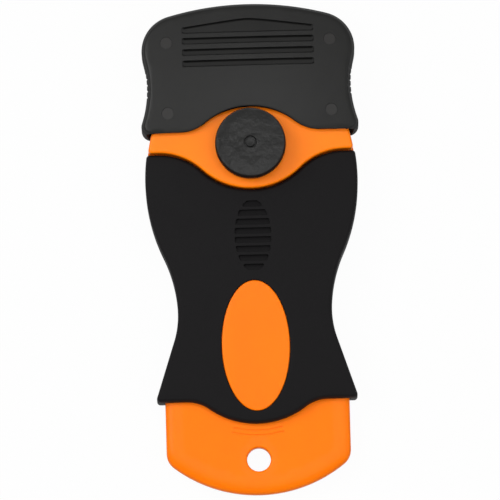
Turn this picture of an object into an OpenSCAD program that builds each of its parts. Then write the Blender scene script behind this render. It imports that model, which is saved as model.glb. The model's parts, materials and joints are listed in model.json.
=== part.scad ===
// Wide razor blade scraper: a blade held under a screw-down clamp cover, a push-on
// blade guard, and a two-shell handle with a soft grip that stores five spare blades.
// It lies on its back. X runs across, +Y points to the blade, +Z is the knob's side.

/* [Overall] */
// Height of the plane where the two shells meet and the blade lies
part_z = 8.4; // [8.2:0.1:9.2]
// Running gap between pieces that slide or lift past each other
run_gap = 0.3; // [0.2:0.05:0.4]

/* [Blade] */
// Width of the blade, along its edge
blade_w = 60; // [56:1:60]
// Depth of the blade, from its back to its edge
blade_d = 19; // [18:0.5:20]
// Thickness of the blade
blade_t = 0.4; // [0.3:0.05:0.5]
// Width of the ground bevel
bevel_w = 1.2; // [0.6:0.1:1.6]
// Distance between the two notches
notch_span = 36; // [30:1:40]
// Width of a notch
notch_w = 4; // [3.6:0.1:4.6]
// Depth of a notch from the blade's back
notch_l = 6.5; // [5:0.1:7]
// How far the edge stands out of the clamp
blade_out = 9.5; // [8:0.5:11]

/* [Guard] */
// Room between the ends of the blade and the inside of the finger grips
guard_side_gap = 1.55; // [1.2:0.05:2]
// How far the front corners stand out past the finger grips
guard_front_out = 1.5; // [1:0.1:2]
// How far the flared rear corners stand out past the finger grips
guard_flare_out = 2.15; // [1.5:0.05:3]
// Radius of the bowed front
guard_front_r = 98; // [90:1:120]
// Radius of the front corners
guard_corner_r = 11.9; // [9:0.1:14]
// Radius of the hollow finger grips
guard_waist_r = 36; // [32:1:40]
// Radius of the rear corners
guard_flare_r = 3.2; // [2.6:0.1:4]
// Wall thickness
guard_t = 1.6; // [1.3:0.1:1.7]
// Room left above the clamp cover, so that the cover can lift
guard_room = 1.4; // [1.3:0.1:2]
// Slope of the top, down to the front, in degrees
guard_tilt = 5.8; // [3:0.2:7]
// Depth of the arch that leaves the knob free
guard_arch_d = 7.95; // [7:0.05:8.4]
// How far the underside reaches back past the upper rear edge
guard_heel = 0.65; // [0.4:0.05:1.4]
// Radius of the arch round the knob
guard_arch_mid_r = 24.5; // [22:0.1:27]
// Radius where the arch turns out to the sides
guard_arch_side_r = 8.5; // [7:0.1:10]

/* [Guard details] */
// Distance from the finger grips to the ends of the thumb ramps
ramp_in = 11.75; // [10:0.05:15]
// Length of one thumb ramp, front to back
ramp_l = 2.25; // [1.8:0.05:2.8]
// Distance from the pointed thumb ramp to the first plain one
ramp_first = 3.6; // [3.4:0.05:4.4]
// Distance from one plain thumb ramp to the next
ramp_pitch = 3.75; // [3.4:0.05:4.4]
// Depth of a thumb ramp at its front wall
ramp_d = 0.9; // [0.5:0.05:1]
// Number of plain thumb ramps behind the pointed one
ramp_count = 3; // [2:1:4]
// Distance from the front of the guard to the pointed ramp's ends
ramp_back = 7.75; // [6.5:0.05:9]
// Rise of the pointed ramp's chevron
ramp_point = 2.75; // [1.5:0.05:3]
// Radius of the round ejector marks
mark_r = 1.95; // [1.5:0.05:2.4]
// Depth of the round ejector marks
mark_d = 0.25; // [0.15:0.05:0.4]
// Distance from the finger grips to the ejector marks
mark_in = 6.55; // [5:0.05:8]
// Distance from the front of the guard to the front marks
mark_back = 12.5; // [11:0.1:14]
// Distance from the rear edge of the guard's top to the rear marks
mark_ahead = 6.4; // [5:0.1:7.5]
// Number of grip notches on each side
serration_count = 12; // [8:1:14]
// Distance from one grip notch to the next
serration_pitch = 0.8; // [0.7:0.05:0.9]
// Depth of a grip notch
serration_d = 0.3; // [0.15:0.05:0.35]

/* [Clamp cover] */
// Height of the cover above the parting plane
cover_h = 7.1; // [6.6:0.1:8]
// Thickness of the cover's top plate
cover_t = 1.9; // [1.6:0.1:2.4]
// Wall around the cover
cover_wall = 2.2; // [1.8:0.1:2.6]
// Radius of the cover's crown, and of the guard's dome above it
crown_r = 400; // [300:10:600]
// Depth of the rounded rear edge behind the knob
yoke_d = 12.3; // [11:0.1:13]
// Radius of the rear edge behind the knob
yoke_mid_r = 22.9; // [21:0.1:25]
// Radius where the rear edge turns out to the sides
yoke_side_r = 21.4; // [19:0.1:23]
// Distance from the guard's rear edge to the rear edge of the cover at its sides
yoke_l = 5.1; // [4.5:0.1:6]
// Height of the front lip above the blade
lip_h = 2.2; // [1.8:0.1:3]
// Lift of the cover when the knob is loosened by one turn: the pitch of the thread
thread_pitch = 0.8; // [0.7:0.05:0.8]

/* [Knob] */
// Diameter of the knob
knob_d = 23; // [21:0.1:23.4]
// Height of the knob
knob_h = 7.6; // [6.5:0.1:9]
// Distance from the front of the guard to the knob's axis
knob_back = 46.45; // [46:0.05:47]
// Number of teeth round the knob
knurl_teeth = 120; // [60:2:140]
// Depth of the teeth
knurl_d = 0.35; // [0.2:0.05:0.4]
// Radius of the screw's shank
screw_r = 2.5; // [2.4:0.05:2.6]

/* [Handle] */
// How far the head stays inside the guard's rear corners, on each side
head_in = 0.75; // [0.5:0.05:1.2]
// Distance from the knob's axis back to the widest place of the head
head_back = 11.15; // [9:0.05:13]
// Room between the door's rails and the shell's wall at the waist
waist_room = 6.35; // [5.5:0.05:8]
// How far the tips where the grip ends stay inside the head, on each side
tip_in = 1.5; // [1:0.05:3]
// Radius of the sides at the head
head_r = 57.5; // [50:0.5:66]
// Radius of the sides above the waist
waist_r = 46; // [40:0.5:52]
// Radius of the sides below the waist
low_r = 28; // [22:0.5:32]
// Distance from the stored blades to the ends of the grip, along the middle
store_margin = 7.72; // [6:0.05:9]
// Height of the grip's crown above the parting plane
crown_h = 6.8; // [6:0.1:7.2]
// Radius of the grip's domed crown
dome_r = 450; // [420:10:600]
// Distance from the knob's axis back to the top of the crown
crown_back = 38.5; // [34:0.5:44]
// Thickness of the soft skin
skin_t = 1.6; // [1.4:0.1:1.7]
// Wall of the shells
shell_t = 2; // [1.6:0.1:2.4]

/* [Tail] */
// Length of the tail at its sides
tail_side_l = 30.55; // [28:0.05:33]
// How far the tail stays inside the grip's tips, on each side
tail_in = 3.1; // [2.5:0.1:5]
// Thickness of the tail
tail_t = 4.4; // [3.8:0.1:4.6]
// Radius of the tail's end
tail_end_r = 45; // [40:1:60]
// Radius of the tail's corners
tail_corner_r = 6; // [4:0.2:8]
// Depth of the grip's rear edge, which bulges over the tail
bulge_d = 7.55; // [5:0.05:8.4]
// Radius of the bulge
bulge_r = 24; // [21:0.5:28]
// Diameter of the hanging hole
hole_d = 7.7; // [6:0.1:9]
// Distance from the hanging hole to the end of the tail
hole_back = 11.4; // [9:0.1:13]

/* [Grip details] */
// Half width of the oval pad
oval_a = 11.15; // [9:0.05:12]
// Distance from the rear end of the grip to the oval pad
oval_margin = 3.85; // [3:0.05:5]
// Distance from the front end of the grip to the oval of thumb ribs
rib_margin = 3.25; // [3:0.05:5]
// Distance from the oval pad to the oval of thumb ribs
oval_gap = 2.7; // [2:0.1:4]
// Half width of the oval of thumb ribs
rib_a = 5.95; // [5:0.05:7]
// Half length of the oval of thumb ribs
rib_b = 11.85; // [10:0.05:12.2]
// Number of hollows in the oval of thumb ribs
rib_count = 8; // [6:1:9]
// Depth of the hollows between the ribs
rib_d = 0.7; // [0.4:0.05:0.8]

/* [Hidden] */

// Fineness of arcs, and how far a cut runs past what it cuts
$fn = 96;
fine_fn = 720;
dome_fn = 180;
arc_steps = 16;
over = 1;
fit_gap = 0.08;
seat_gap = 0.05;
free_gap = 0.4;

// Widths, from the blade outwards
guard_waist_w = blade_w + 2 * (guard_side_gap + guard_t);
guard_front_w = guard_waist_w + 2 * guard_front_out;
guard_flare_w = guard_waist_w + 2 * guard_flare_out;
head_w = guard_flare_w - 2 * head_in;
tip_w = head_w - 2 * tip_in;
tail_w = tip_w - 2 * tail_in;

// Half widths of the storage, its door's lips and grooves and the rails outside them
store_gap = 0.5;
store_half = blade_d / 2 + store_gap;
door_lip_w = 1.6;
door_lip_half = store_half + door_lip_w;
groove_d = 1.5;
groove_half = door_lip_half + groove_d;
rail_half = groove_half + shell_t;
waist_w = 2 * (rail_half + waist_room + shell_t + skin_t);

// How far the centres of the guard's circles lie behind its front
guard_corner_x = guard_front_w / 2 - guard_corner_r;
guard_waist_x = guard_waist_w / 2 + guard_waist_r;
guard_flare_x = guard_flare_w / 2 - guard_flare_r;
guard_corner_back = guard_front_r - side_drop(guard_front_r - guard_corner_r, guard_corner_x);
guard_waist_back = guard_corner_back
    + side_drop(guard_waist_r + guard_corner_r, guard_waist_x - guard_corner_x);
guard_flare_back = guard_waist_back
    + side_drop(guard_waist_r + guard_flare_r, guard_waist_x - guard_flare_x);
guard_l = guard_flare_back + guard_flare_r;

// Length, from the guard, the stored blades and the tail
store_l = blade_w + 2 * store_gap;
grip_mid_l = store_l + 2 * store_margin;
body_l = guard_l + run_gap + yoke_l + yoke_d + grip_mid_l - bulge_d + tail_side_l;
reach = body_l;

// Stations along the length
front_y = body_l / 2;
tail_y = -body_l / 2;
knob_y = front_y - knob_back;
blade_tip_gap = 11.5;
edge_y = front_y - blade_tip_gap;
jaw_y = edge_y - blade_out;
blade_back_y = edge_y - blade_d;

// Heights
cover_z = part_z + cover_h;
guard_z = cover_z + guard_room + guard_t;
guard_floor_t = skin_t - run_gap;
crown_z = part_z + crown_h;
tail_z = part_z - tail_t;

// Guard outline: three tangent circles on each side
guard_corner = [guard_corner_x, front_y - guard_corner_back];
guard_waist = [guard_waist_x, front_y - guard_waist_back];
guard_flare = [guard_flare_x, front_y - guard_flare_back];
guard_rear_y = front_y - guard_l;
guard_lip_y = guard_rear_y + guard_heel;
guard_top_y = (guard_lip_y + front_y) / 2 - crown_r * sin(guard_tilt);
guard_top_z = guard_z + crown_r - sqrt(crown_r * crown_r - pow(guard_lip_y - guard_top_y, 2));
ramp_half = guard_waist_w / 2 - ramp_in;
ramp_lead = 0.3;
mark_x = guard_waist_w / 2 - mark_in;
serration_share = 0.28;

// The shoulder of the cover and of the lower shell stops just behind the guard
shoulder_y = guard_rear_y - run_gap;
nose_gap = 0.2;
nose_half = guard_waist_w / 2 - guard_t - nose_gap;
nose_corner_r = 2.5;
nose_rise = 4.6;
nose_flat_share = 0.42;

// Handle outline: head circle, two waist circles and a straight flank to the tip
head_y = knob_y - head_back;
head_c = [head_w / 2 - head_r, head_y];
head_turn = 20;
waist_y = head_y - side_drop(head_r + waist_r, waist_w / 2 + waist_r - head_c.x);
waist_c = [waist_w / 2 + waist_r, waist_y];
low_c = [waist_w / 2 + low_r, waist_y];
grip_end_y = tail_y + tail_side_l;
tip = [tip_w / 2, grip_end_y];
tip_away = norm(low_c - tip);
flank_angle = atan2(low_c.y - tip.y, low_c.x - tip.x) - acos(low_r / tip_away);
tip_r = 1.2;
bulge_side_r = 7.5;
bulge_c_y = grip_end_y - bulge_d + bulge_r;
yoke_edge_y = shoulder_y - yoke_l;
yoke_inset = 0.35;
cover_gap = 0.45;
cover_slope_ahead = 8;
jaw_step = 0.2;
rib_share = 0.66;
rib_end_share = 0.8;
crown_y = knob_y - crown_back;
oval_b = (grip_mid_l - cover_gap - oval_margin - rib_margin - oval_gap - 2 * rib_b) / 2;
oval_y = grip_end_y - bulge_d + oval_margin + oval_b;
rib_y = oval_y + oval_b + oval_gap + rib_b;

// Clamp
knob_r = knob_d / 2;
knob_lift = 0.5;
knob_z = cover_z + knob_lift;
knob_chamfer = 1.1;
knob_skirt_t = 1.9;
hub_r = 4.9;
skirt_d = 3.4;
dish_r = 9.7;
dish_d = 0.3;
ring_r = 2.1;
ring_w = 0.58;
ring_d = 0.4;
washer_r = 7;
washer_t = 0.8;
washer_sink = 0.5;
washer_hole_r = screw_r + run_gap;
head_across_r = 4.6;
head_t = 3.4;
head_cover_t = 2;
head_under_z = knob_z + head_cover_t;
insert_r = 3.6;
boss_r = 5.6;
boss_h = 1;
insert_l = 4.6;
boss_z = part_z + boss_h;
insert_z = boss_z - insert_l;
stop_t = 0.8;
stop_r = 4.1;
stop_z = insert_z - thread_pitch - seat_gap - stop_t;
stop_bore_r = stop_r + free_gap;
stop_groove_d = 0.35;
stop_neck_r = screw_r - stop_groove_d;
screw_tip_l = 0.7;
screw_end_z = stop_z - screw_tip_l;
spring_wire = 0.7;
spring_r = 3.95;
spring_turns = 2.75;
spring_top_z = cover_z - cover_t;

// Posts that guide the cover and pegs that hold the blade
post_r = 2.4;
post_in = 8.35;
post_x = nose_half - post_in;
post_ahead = 3;
post_top_gap = 0.9;
post_h = cover_h - cover_t - post_top_gap;
post_boss_t = 1.9;
peg_gap = 0.1;
peg_r = notch_w / 2 - peg_gap;
peg_y = blade_back_y + notch_l - notch_w / 2;
peg_h = 2;
peg_room = 0.15;

// Storage and its sliding door
store_y = (yoke_edge_y - yoke_d + grip_end_y - bulge_d) / 2;
store_front_y = store_y + store_l / 2;
lip_t = 1.1;
groove_h = 1;
groove_z = skin_t + lip_t;
groove_top_z = groove_z + groove_h;
door_gap = 0.1;
door_under_z = 0.5;
door_front_y = store_front_y + groove_d;
door_ridge_count = 5;
door_ridge_pitch = 2.4;
door_ridge_w = 1.1;
door_ridge_h = 0.3;
door_ridge_back = 9;
spare_count = 5;
spare_z = groove_top_z;
spare_top_z = spare_z + spare_count * blade_t;
holder_t = 1.6;
holder_half = 7;
holder_span = 36;

// Case screws
case_out = 2.5;
case_x = rail_half + case_out;
case_front_gap = 3.6;
case_rear_gap = 15;
case_ys = [store_front_y - case_front_gap, grip_end_y + case_rear_gap];
case_r = 1.45;
case_hole_r = 1.6;
case_pilot_r = case_r + seat_gap;
case_head_r = 2.8;
case_head_t = 1.9;
case_boss_r = 3.3;
case_foot_t = 1.4;
case_foot_r = case_head_r + run_gap + case_foot_t;
case_pilot_over = 0.2;
case_l = 7;
case_sink = 0.3;
case_seat_z = skin_t + case_head_t + case_sink;
case_end_z = case_seat_z + case_l;
cross_l = 3;
cross_w = 0.7;
cross_d = 1;

// Moulded pockets under the nose
core_count = 4;
core_rib = 1.6;
core_roof_t = 2.2;
core_edge = 4;

// How far the tail runs into the lower shell's rear wall, and the two fine arcs on it
tail_root = 1;
arc_outs = [2.4, 4.15];
arc_spread = 16;
arc_w = 0.5;
arc_d = 0.3;

// Fall of one circle's centre below its neighbour's, where the two circles touch
function side_drop(reach_r, dx) = sqrt(reach_r * reach_r - dx * dx);

// Points on an arc. An arc that carries on from the one before starts at point 1.
function arc(c, r, a0, a1, first = 1, steps = arc_steps) =
    [for (i = [first : steps]) c + r * [cos(a0 + (a1 - a0) * i / steps), sin(a0 + (a1 - a0) * i / steps)]];

// The same points on the other side, in the order that closes the outline
function mirrored(pts) = [for (i = [len(pts) - 1 : -1 : 0]) if (pts[i].x != 0) [-pts[i].x, pts[i].y]];

// Points of an ellipse
function ellipse(a, b, steps = 72) =
    [for (i = [0 : steps - 1]) [a * cos(i * 360 / steps), b * sin(i * 360 / steps)]];

// An edge that runs straight in from both sides and bulges by d in the middle.
// It is two arcs each side, and dir is 1 for a bulge towards +Y and -1 towards -Y.
function bulge_half(y, d, mid_r, side_r, dir) =
    let (a = acos(1 - d / (mid_r + side_r)),
         half = concat(arc([0, d - mid_r], mid_r, 90, 90 - a, 0),
                       arc([(mid_r + side_r) * sin(a), side_r], side_r, 270 - a, 270)))
    [for (p = half) [p.x, y + dir * p.y]];
function bulge_edge(y, d, mid_r, side_r, dir) =
    let (half = bulge_half(y, d, mid_r, side_r, dir))
    concat([[-reach, y]], mirrored(half), half, [[reach, y]]);

// Right side of the guard, front to back, moved in by d. Its last arc stops at the given angle.
// With notches, the waist circle carries a row of small V cuts round its middle.
function guard_side(d, a_end, notches = 0) =
    let (a_corner = atan2(guard_corner.y - front_y + guard_front_r, guard_corner.x),
         a_waist = 180 + atan2(guard_waist.y - guard_corner.y, guard_waist.x - guard_corner.x),
         a_flare = atan2(guard_waist.y - guard_flare.y, guard_waist.x - guard_flare.x),
         turn = serration_pitch / guard_waist_r * 180 / PI,
         span = notches * turn / 2)
    concat(arc([0, front_y - guard_front_r], guard_front_r - d, 90, a_corner, 0),
           arc(guard_corner, guard_corner_r - d, a_corner, a_waist - 180),
           arc(guard_waist, guard_waist_r + d, a_waist, 180 - span),
           [for (i = [0 : 1 : notches - 1]) for (k = [-1, 0, 1])
               let (a = 180 - span + turn * (i + 1 / 2 + k * serration_share))
               guard_waist + (guard_waist_r + d + (k == 0 ? serration_d : 0)) * [cos(a), sin(a)]],
           arc(guard_waist, guard_waist_r + d, 180 + span, 180 + a_flare, notches == 0 ? 1 : 0),
           arc(guard_flare, guard_flare_r - d, a_flare, a_end));

// Right side of the handle, head to tip, moved in by d
function handle_side(d) =
    let (a_head = atan2(waist_c.y - head_c.y, waist_c.x - head_c.x))
    concat(arc(head_c, head_r - d, head_turn, a_head, 0, 2 * arc_steps),
           arc(waist_c, waist_r + d, 180 + a_head, 180),
           arc(low_c, low_r + d, 180, 180 + flank_angle));

module handle_sides(d = 0) {
    side = handle_side(d);
    far = side[len(side) - 1] + reach * [sin(flank_angle), -cos(flank_angle)];
    polygon(concat(side, [far, [-far.x, far.y]], mirrored(side)));
}

// Region in front of the grip's rear edge, and region behind the cover's rear edge
module ahead_of_tail(shift = 0) {
    polygon(concat(bulge_edge(grip_end_y + shift, bulge_d, bulge_r, bulge_side_r, -1),
                   [[reach, reach], [-reach, reach]]));
}
module behind_yoke(shift = 0) {
    polygon(concat(bulge_edge(yoke_edge_y + shift, yoke_d, yoke_mid_r, yoke_side_r, -1),
                   [[reach, -reach], [-reach, -reach]]));
}
module ahead_of_yoke(shift = 0) {
    polygon(concat(bulge_edge(yoke_edge_y + shift, yoke_d, yoke_mid_r, yoke_side_r, -1),
                   [[reach, reach], [-reach, reach]]));
}

// Plan of the grip, with its tips rounded
module grip_plan() {
    side = handle_side(0);
    flank = side[len(side) - 1];
    tip_c_y = grip_end_y + tip_r;
    tip_c = [flank.x - (tip_r + (tip_c_y - flank.y) * sin(flank_angle)) / cos(flank_angle), tip_c_y];
    rear = bulge_half(grip_end_y, bulge_d, bulge_r, bulge_side_r, -1);
    right = concat(side, arc(tip_c, tip_r, flank_angle, -90, 0),
                   [for (i = [len(rear) - 1 : -1 : 0]) rear[i]]);
    intersection() {
        polygon(concat(right, mirrored(right)));
        behind_yoke(-cover_gap);
    }
}

// Plan of a shell under the soft skin
module shell_plan(inset = skin_t, front = 0) {
    intersection() {
        handle_sides(inset);
        ahead_of_tail(inset);
        behind_yoke(-cover_gap - front);
    }
}

// Block under a crown that falls to the sides, with its highest line through [0, y, z]
module crowned(y, z, r, tilt = 0) {
    translate([0, y, z]) rotate([tilt, 0, 0]) translate([0, 0, -r]) rotate([90, 0, 0])
        cylinder(r = r, h = 2 * reach, center = true, $fn = fine_fn);
}

// Block under a flat dome that falls to all sides, with its highest point at [0, y, z]
module domed(y, z, r, down = 0) {
    translate([0, y, z - r]) rotate_extrude($fn = dome_fn) intersection() {
        circle(r - down, $fn = fine_fn);
        translate([0, r - 2 * crown_z]) square([body_l / 2, 3 * crown_z]);
    }
}

module grip_crown(down = 0) {
    domed(crown_y, crown_z, dome_r, down);
}

module guard_crown(down = 0) {
    domed(guard_top_y, guard_top_z, crown_r, down);
}

// Height of the guard's top at a place
function guard_surface(x, y) =
    guard_top_z - crown_r + sqrt(crown_r * crown_r - x * x - pow(y - guard_top_y, 2));

module guard_outline() {
    side = guard_side(0, -90, serration_count);
    polygon(concat(side, mirrored(side)));
}

// The room inside the guard, open at the back
module guard_room_outline() {
    side = guard_side(guard_t, 0);
    last = side[len(side) - 1];
    polygon(concat(side, [[last.x, guard_rear_y - over], [-last.x, guard_rear_y - over]], mirrored(side)));
}

// A thumb ramp: a steep front wall and a floor that rises to the back
module thumb_ramp(y_back, length, point = 0) {
    rise_y = y_back + ramp_lead;
    slope = asin((rise_y - guard_top_y) / crown_r) + atan(ramp_d / (length - ramp_lead));
    difference() {
        translate([0, 0, part_z]) linear_extrude(guard_z) polygon([
            [-ramp_half, y_back], [-ramp_half, y_back + length - point], [0, y_back + length],
            [ramp_half, y_back + length - point], [ramp_half, y_back]]);
        crowned(rise_y, guard_surface(0, rise_y), crown_r, -slope);
    }
}

module blade_guard() {
    point_back = front_y - ramp_back - ramp_l + ramp_lead;
    mark_ys = [front_y - mark_back, guard_lip_y + mark_ahead];
    color([0.11, 0.11, 0.105]) difference() {
        intersection() {
            linear_extrude(guard_top_z) guard_outline();
            guard_crown();
            rotate([90, 0, 90]) linear_extrude(2 * reach, center = true) polygon([
                [guard_rear_y, 0], [guard_rear_y + 2 * guard_heel, 2 * guard_z],
                [reach, 2 * guard_z], [reach, 0]]);
        }
        intersection() {
            translate([0, 0, guard_floor_t]) linear_extrude(guard_z) guard_room_outline();
            guard_crown(guard_t);
        }
        // The arch round the knob, through the top only
        translate([0, 0, part_z + cover_h / 2]) linear_extrude(guard_z) polygon(concat(
            bulge_edge(guard_lip_y, guard_arch_d, guard_arch_mid_r, guard_arch_side_r, 1),
            [[reach, -reach], [-reach, -reach]]));
        thumb_ramp(point_back, ramp_l - ramp_lead + ramp_point, ramp_point);
        for (i = [0 : ramp_count - 1]) thumb_ramp(point_back - ramp_first - i * ramp_pitch, ramp_l);
        for (x = [-mark_x, mark_x]) for (y = mark_ys)
            translate([x, y, guard_surface(x, y)])
                rotate([asin((guard_top_y - y) / crown_r), asin(x / crown_r), 0])
                    translate([0, 0, -mark_d]) cylinder(r = mark_r, h = over);
    }
}

// The blade, lying with its back on Y = 0 and its edge towards +Y
module blade() {
    difference() {
        rotate([90, 0, 90]) linear_extrude(blade_w, center = true) polygon([
            [0, 0], [blade_d - bevel_w, 0], [blade_d, blade_t / 2],
            [blade_d - bevel_w, blade_t], [0, blade_t]]);
        for (x = [-notch_span / 2, notch_span / 2]) translate([x, 0, -over]) {
            translate([0, notch_l - notch_w / 2, 0]) cylinder(d = notch_w, h = 2 * over + blade_t);
            translate([-notch_w / 2, -over, 0])
                cube([notch_w, notch_l - notch_w / 2 + over, 2 * over + blade_t]);
        }
    }
}

module razor_blade() {
    color([0.72, 0.73, 0.75]) translate([0, blade_back_y, part_z]) blade();
}

module spare_blade(i) {
    color([0.72, 0.73, 0.75])
        translate([blade_d / 2, store_y, spare_z + (i - 1) * blade_t]) rotate([0, 0, 90]) blade();
}

// Nose of the lower shell and of the cover, seen from above
module nose_plan(half, y) {
    side = concat([[half, shoulder_y - over]],
                  arc([half - nose_corner_r, y - nose_corner_r], nose_corner_r, 0, 90, 0));
    polygon(concat(side, mirrored(side)));
}

module yoke_plan(inset = 0) {
    intersection() {
        handle_sides(yoke_inset + inset);
        ahead_of_yoke(inset);
        translate([-reach, -reach]) square([2 * reach, reach + shoulder_y - inset]);
    }
}

module clamp_cover() {
    slope_y = blade_back_y - cover_slope_ahead;
    jaw_back_y = blade_back_y - jaw_step;
    hollow_y = jaw_back_y - cover_wall;
    hollow_half = nose_half - run_gap - cover_wall;
    room_z = cover_z - cover_t - part_z;
    color([1, 0.45, 0.09]) difference() {
        union() {
            difference() {
                intersection() {
                    translate([0, 0, part_z]) linear_extrude(cover_h) {
                        yoke_plan();
                        nose_plan(nose_half - run_gap, jaw_y - run_gap);
                    }
                    crowned(knob_y, cover_z, crown_r);
                    rotate([90, 0, 90]) linear_extrude(2 * reach, center = true) polygon([
                        [-reach, part_z], [jaw_back_y, part_z], [jaw_back_y, part_z + blade_t],
                        [jaw_y, part_z + blade_t], [jaw_y, part_z + blade_t + lip_h],
                        [slope_y, cover_z], [-reach, cover_z]]);
                }
                translate([0, 0, part_z - over]) linear_extrude(room_z + over) {
                    yoke_plan(cover_wall);
                    translate([-hollow_half, shoulder_y - cover_wall - over])
                        square([2 * hollow_half, hollow_y - shoulder_y + cover_wall + over]);
                }
            }
            for (x = [-post_x, post_x]) translate([x, knob_y + post_ahead, part_z + run_gap])
                cylinder(r = post_r + post_boss_t, h = room_z - run_gap + over);
        }
        for (x = [-post_x, post_x]) translate([x, knob_y + post_ahead, 0])
            cylinder(r = post_r + fit_gap, h = part_z + post_h + run_gap);
        for (x = [-notch_span / 2, notch_span / 2]) translate([x, peg_y, part_z])
            cylinder(r = peg_r + peg_room, h = peg_h + run_gap);
        translate([0, knob_y, part_z]) cylinder(r = washer_hole_r, h = cover_h + over);
        translate([0, knob_y, cover_z - washer_sink]) cylinder(r = washer_r + peg_room, h = over);
    }
}

module screw_solid() {
    translate([0, knob_y, screw_end_z]) cylinder(r = screw_r, h = head_under_z - screw_end_z + seat_gap);
    translate([0, knob_y, head_under_z]) cylinder(r = head_across_r, h = head_t, $fn = 6);
}

module clamp_knob() {
    top_z = knob_z + knob_h;
    hub_z = cover_z + washer_t - washer_sink;
    color([0.09, 0.09, 0.088]) difference() {
        union() {
            intersection() {
                translate([0, knob_y, knob_z]) linear_extrude(knob_h) polygon([
                    for (i = [0 : 2 * knurl_teeth - 1])
                        (knob_r - (i % 2) * knurl_d)
                        * [cos(i * 180 / knurl_teeth), sin(i * 180 / knurl_teeth)]]);
                translate([0, knob_y, knob_z - over]) rotate_extrude() polygon([
                    [0, 0], [knob_r + over, 0], [knob_r + over, knob_h - knob_chamfer],
                    [knob_r - knob_chamfer, knob_h + over], [0, knob_h + over]]);
            }
            translate([0, knob_y, hub_z]) cylinder(r = hub_r, h = knob_z - hub_z + over);
        }
        // Hollow between the hub and the skirt
        translate([0, knob_y, knob_z - over]) rotate_extrude()
            translate([hub_r, 0]) square([knob_r - knob_skirt_t - hub_r, skirt_d + over]);
        translate([0, knob_y, top_z - dish_d]) cylinder(r = dish_r, h = over);
        translate([0, knob_y, top_z - dish_d - ring_d]) rotate_extrude()
            translate([ring_r - ring_w, 0]) square([ring_w, over]);
        screw_solid();
    }
}

module knob_screw() {
    color([0.7, 0.7, 0.72]) difference() {
        screw_solid();
        translate([0, knob_y, stop_z]) rotate_extrude()
            translate([stop_neck_r, 0]) square([screw_r, stop_t]);
    }
}

module stop_ring() {
    color([0.6, 0.6, 0.62]) translate([0, knob_y, stop_z]) difference() {
        cylinder(r = stop_r, h = stop_t);
        translate([0, 0, -over]) cylinder(r = stop_neck_r, h = stop_t + 2 * over);
    }
}

module thrust_washer() {
    color([0.75, 0.75, 0.77]) translate([0, knob_y, cover_z - washer_sink]) difference() {
        cylinder(r = washer_r, h = washer_t);
        translate([0, 0, -over]) cylinder(r = washer_hole_r, h = washer_t + 2 * over);
    }
}

module threaded_insert() {
    color([0.8, 0.62, 0.25]) translate([0, knob_y, insert_z]) difference() {
        cylinder(r = insert_r, h = insert_l);
        translate([0, 0, -over]) cylinder(r = screw_r + fit_gap, h = insert_l + 2 * over);
    }
}

// A tube swept along points, closed at both ends
module swept(route, r, sides = 6) {
    rings = [for (i = [0 : len(route) - 1])
        let (ahead = route[min(i + 1, len(route) - 1)] - route[max(i - 1, 0)],
             along = ahead / norm(ahead),
             out = cross(along, [0, 0, 1]) / norm(cross(along, [0, 0, 1])),
             up = cross(out, along))
        for (j = [0 : sides - 1]) route[i] + r * (cos(j * 360 / sides) * out + sin(j * 360 / sides) * up)];
    last = (len(route) - 1) * sides;
    faces = concat(
        [[for (j = [sides - 1 : -1 : 0]) j]],
        [for (i = [0 : len(route) - 2]) for (j = [0 : sides - 1]) for (t = [0, 1])
            let (a = i * sides + j, b = i * sides + (j + 1) % sides)
            t == 0 ? [a, b, b + sides] : [a, b + sides, a + sides]],
        [[for (j = [0 : sides - 1]) last + j]]);
    polyhedron(rings, faces);
}

spring_low_z = boss_z + spring_wire / 2;
spring_rise = spring_top_z - boss_z - spring_wire;
spring_ring_count = 8;
spring_route = [for (i = [0 : spring_turns * spring_ring_count])
    let (a = i * 360 / spring_ring_count)
    [spring_r * cos(a), knob_y + spring_r * sin(a),
     spring_low_z + spring_rise * i / (spring_turns * spring_ring_count)]];
spring_gap = min([for (i = [0 : len(spring_route) - spring_ring_count - 1])
    norm(spring_route[i + spring_ring_count] - spring_route[i])]) - spring_wire;
echo(least_gap_between_spring_coils = spring_gap);

module lift_spring() {
    color([0.62, 0.63, 0.66]) swept(spring_route, spring_wire / 2);
}

module tail_plan() {
    corner = [tail_w / 2 - tail_corner_r,
              tail_y + tail_end_r - sqrt(pow(tail_end_r - tail_corner_r, 2)
                                         - pow(tail_w / 2 - tail_corner_r, 2))];
    a = atan2(corner.y - tail_y - tail_end_r, corner.x);
    side = concat([[tail_w / 2, grip_end_y + skin_t + tail_root]],
                  arc(corner, tail_corner_r, 0, a, 0),
                  arc([0, tail_y + tail_end_r], tail_end_r, a, -90));
    polygon(concat(side, mirrored(side)));
}

// The storage and the way of its door, cut out of the lower shell
module storage_cuts() {
    translate([-store_half, store_y - store_l / 2, skin_t])
        cube([2 * store_half, store_l, part_z]);
    translate([-door_lip_half, -reach, -over])
        cube([2 * door_lip_half, reach + door_front_y, groove_z + 2 * over]);
    translate([-groove_half, -reach, groove_z])
        cube([2 * groove_half, reach + door_front_y, groove_h]);
}

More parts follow.
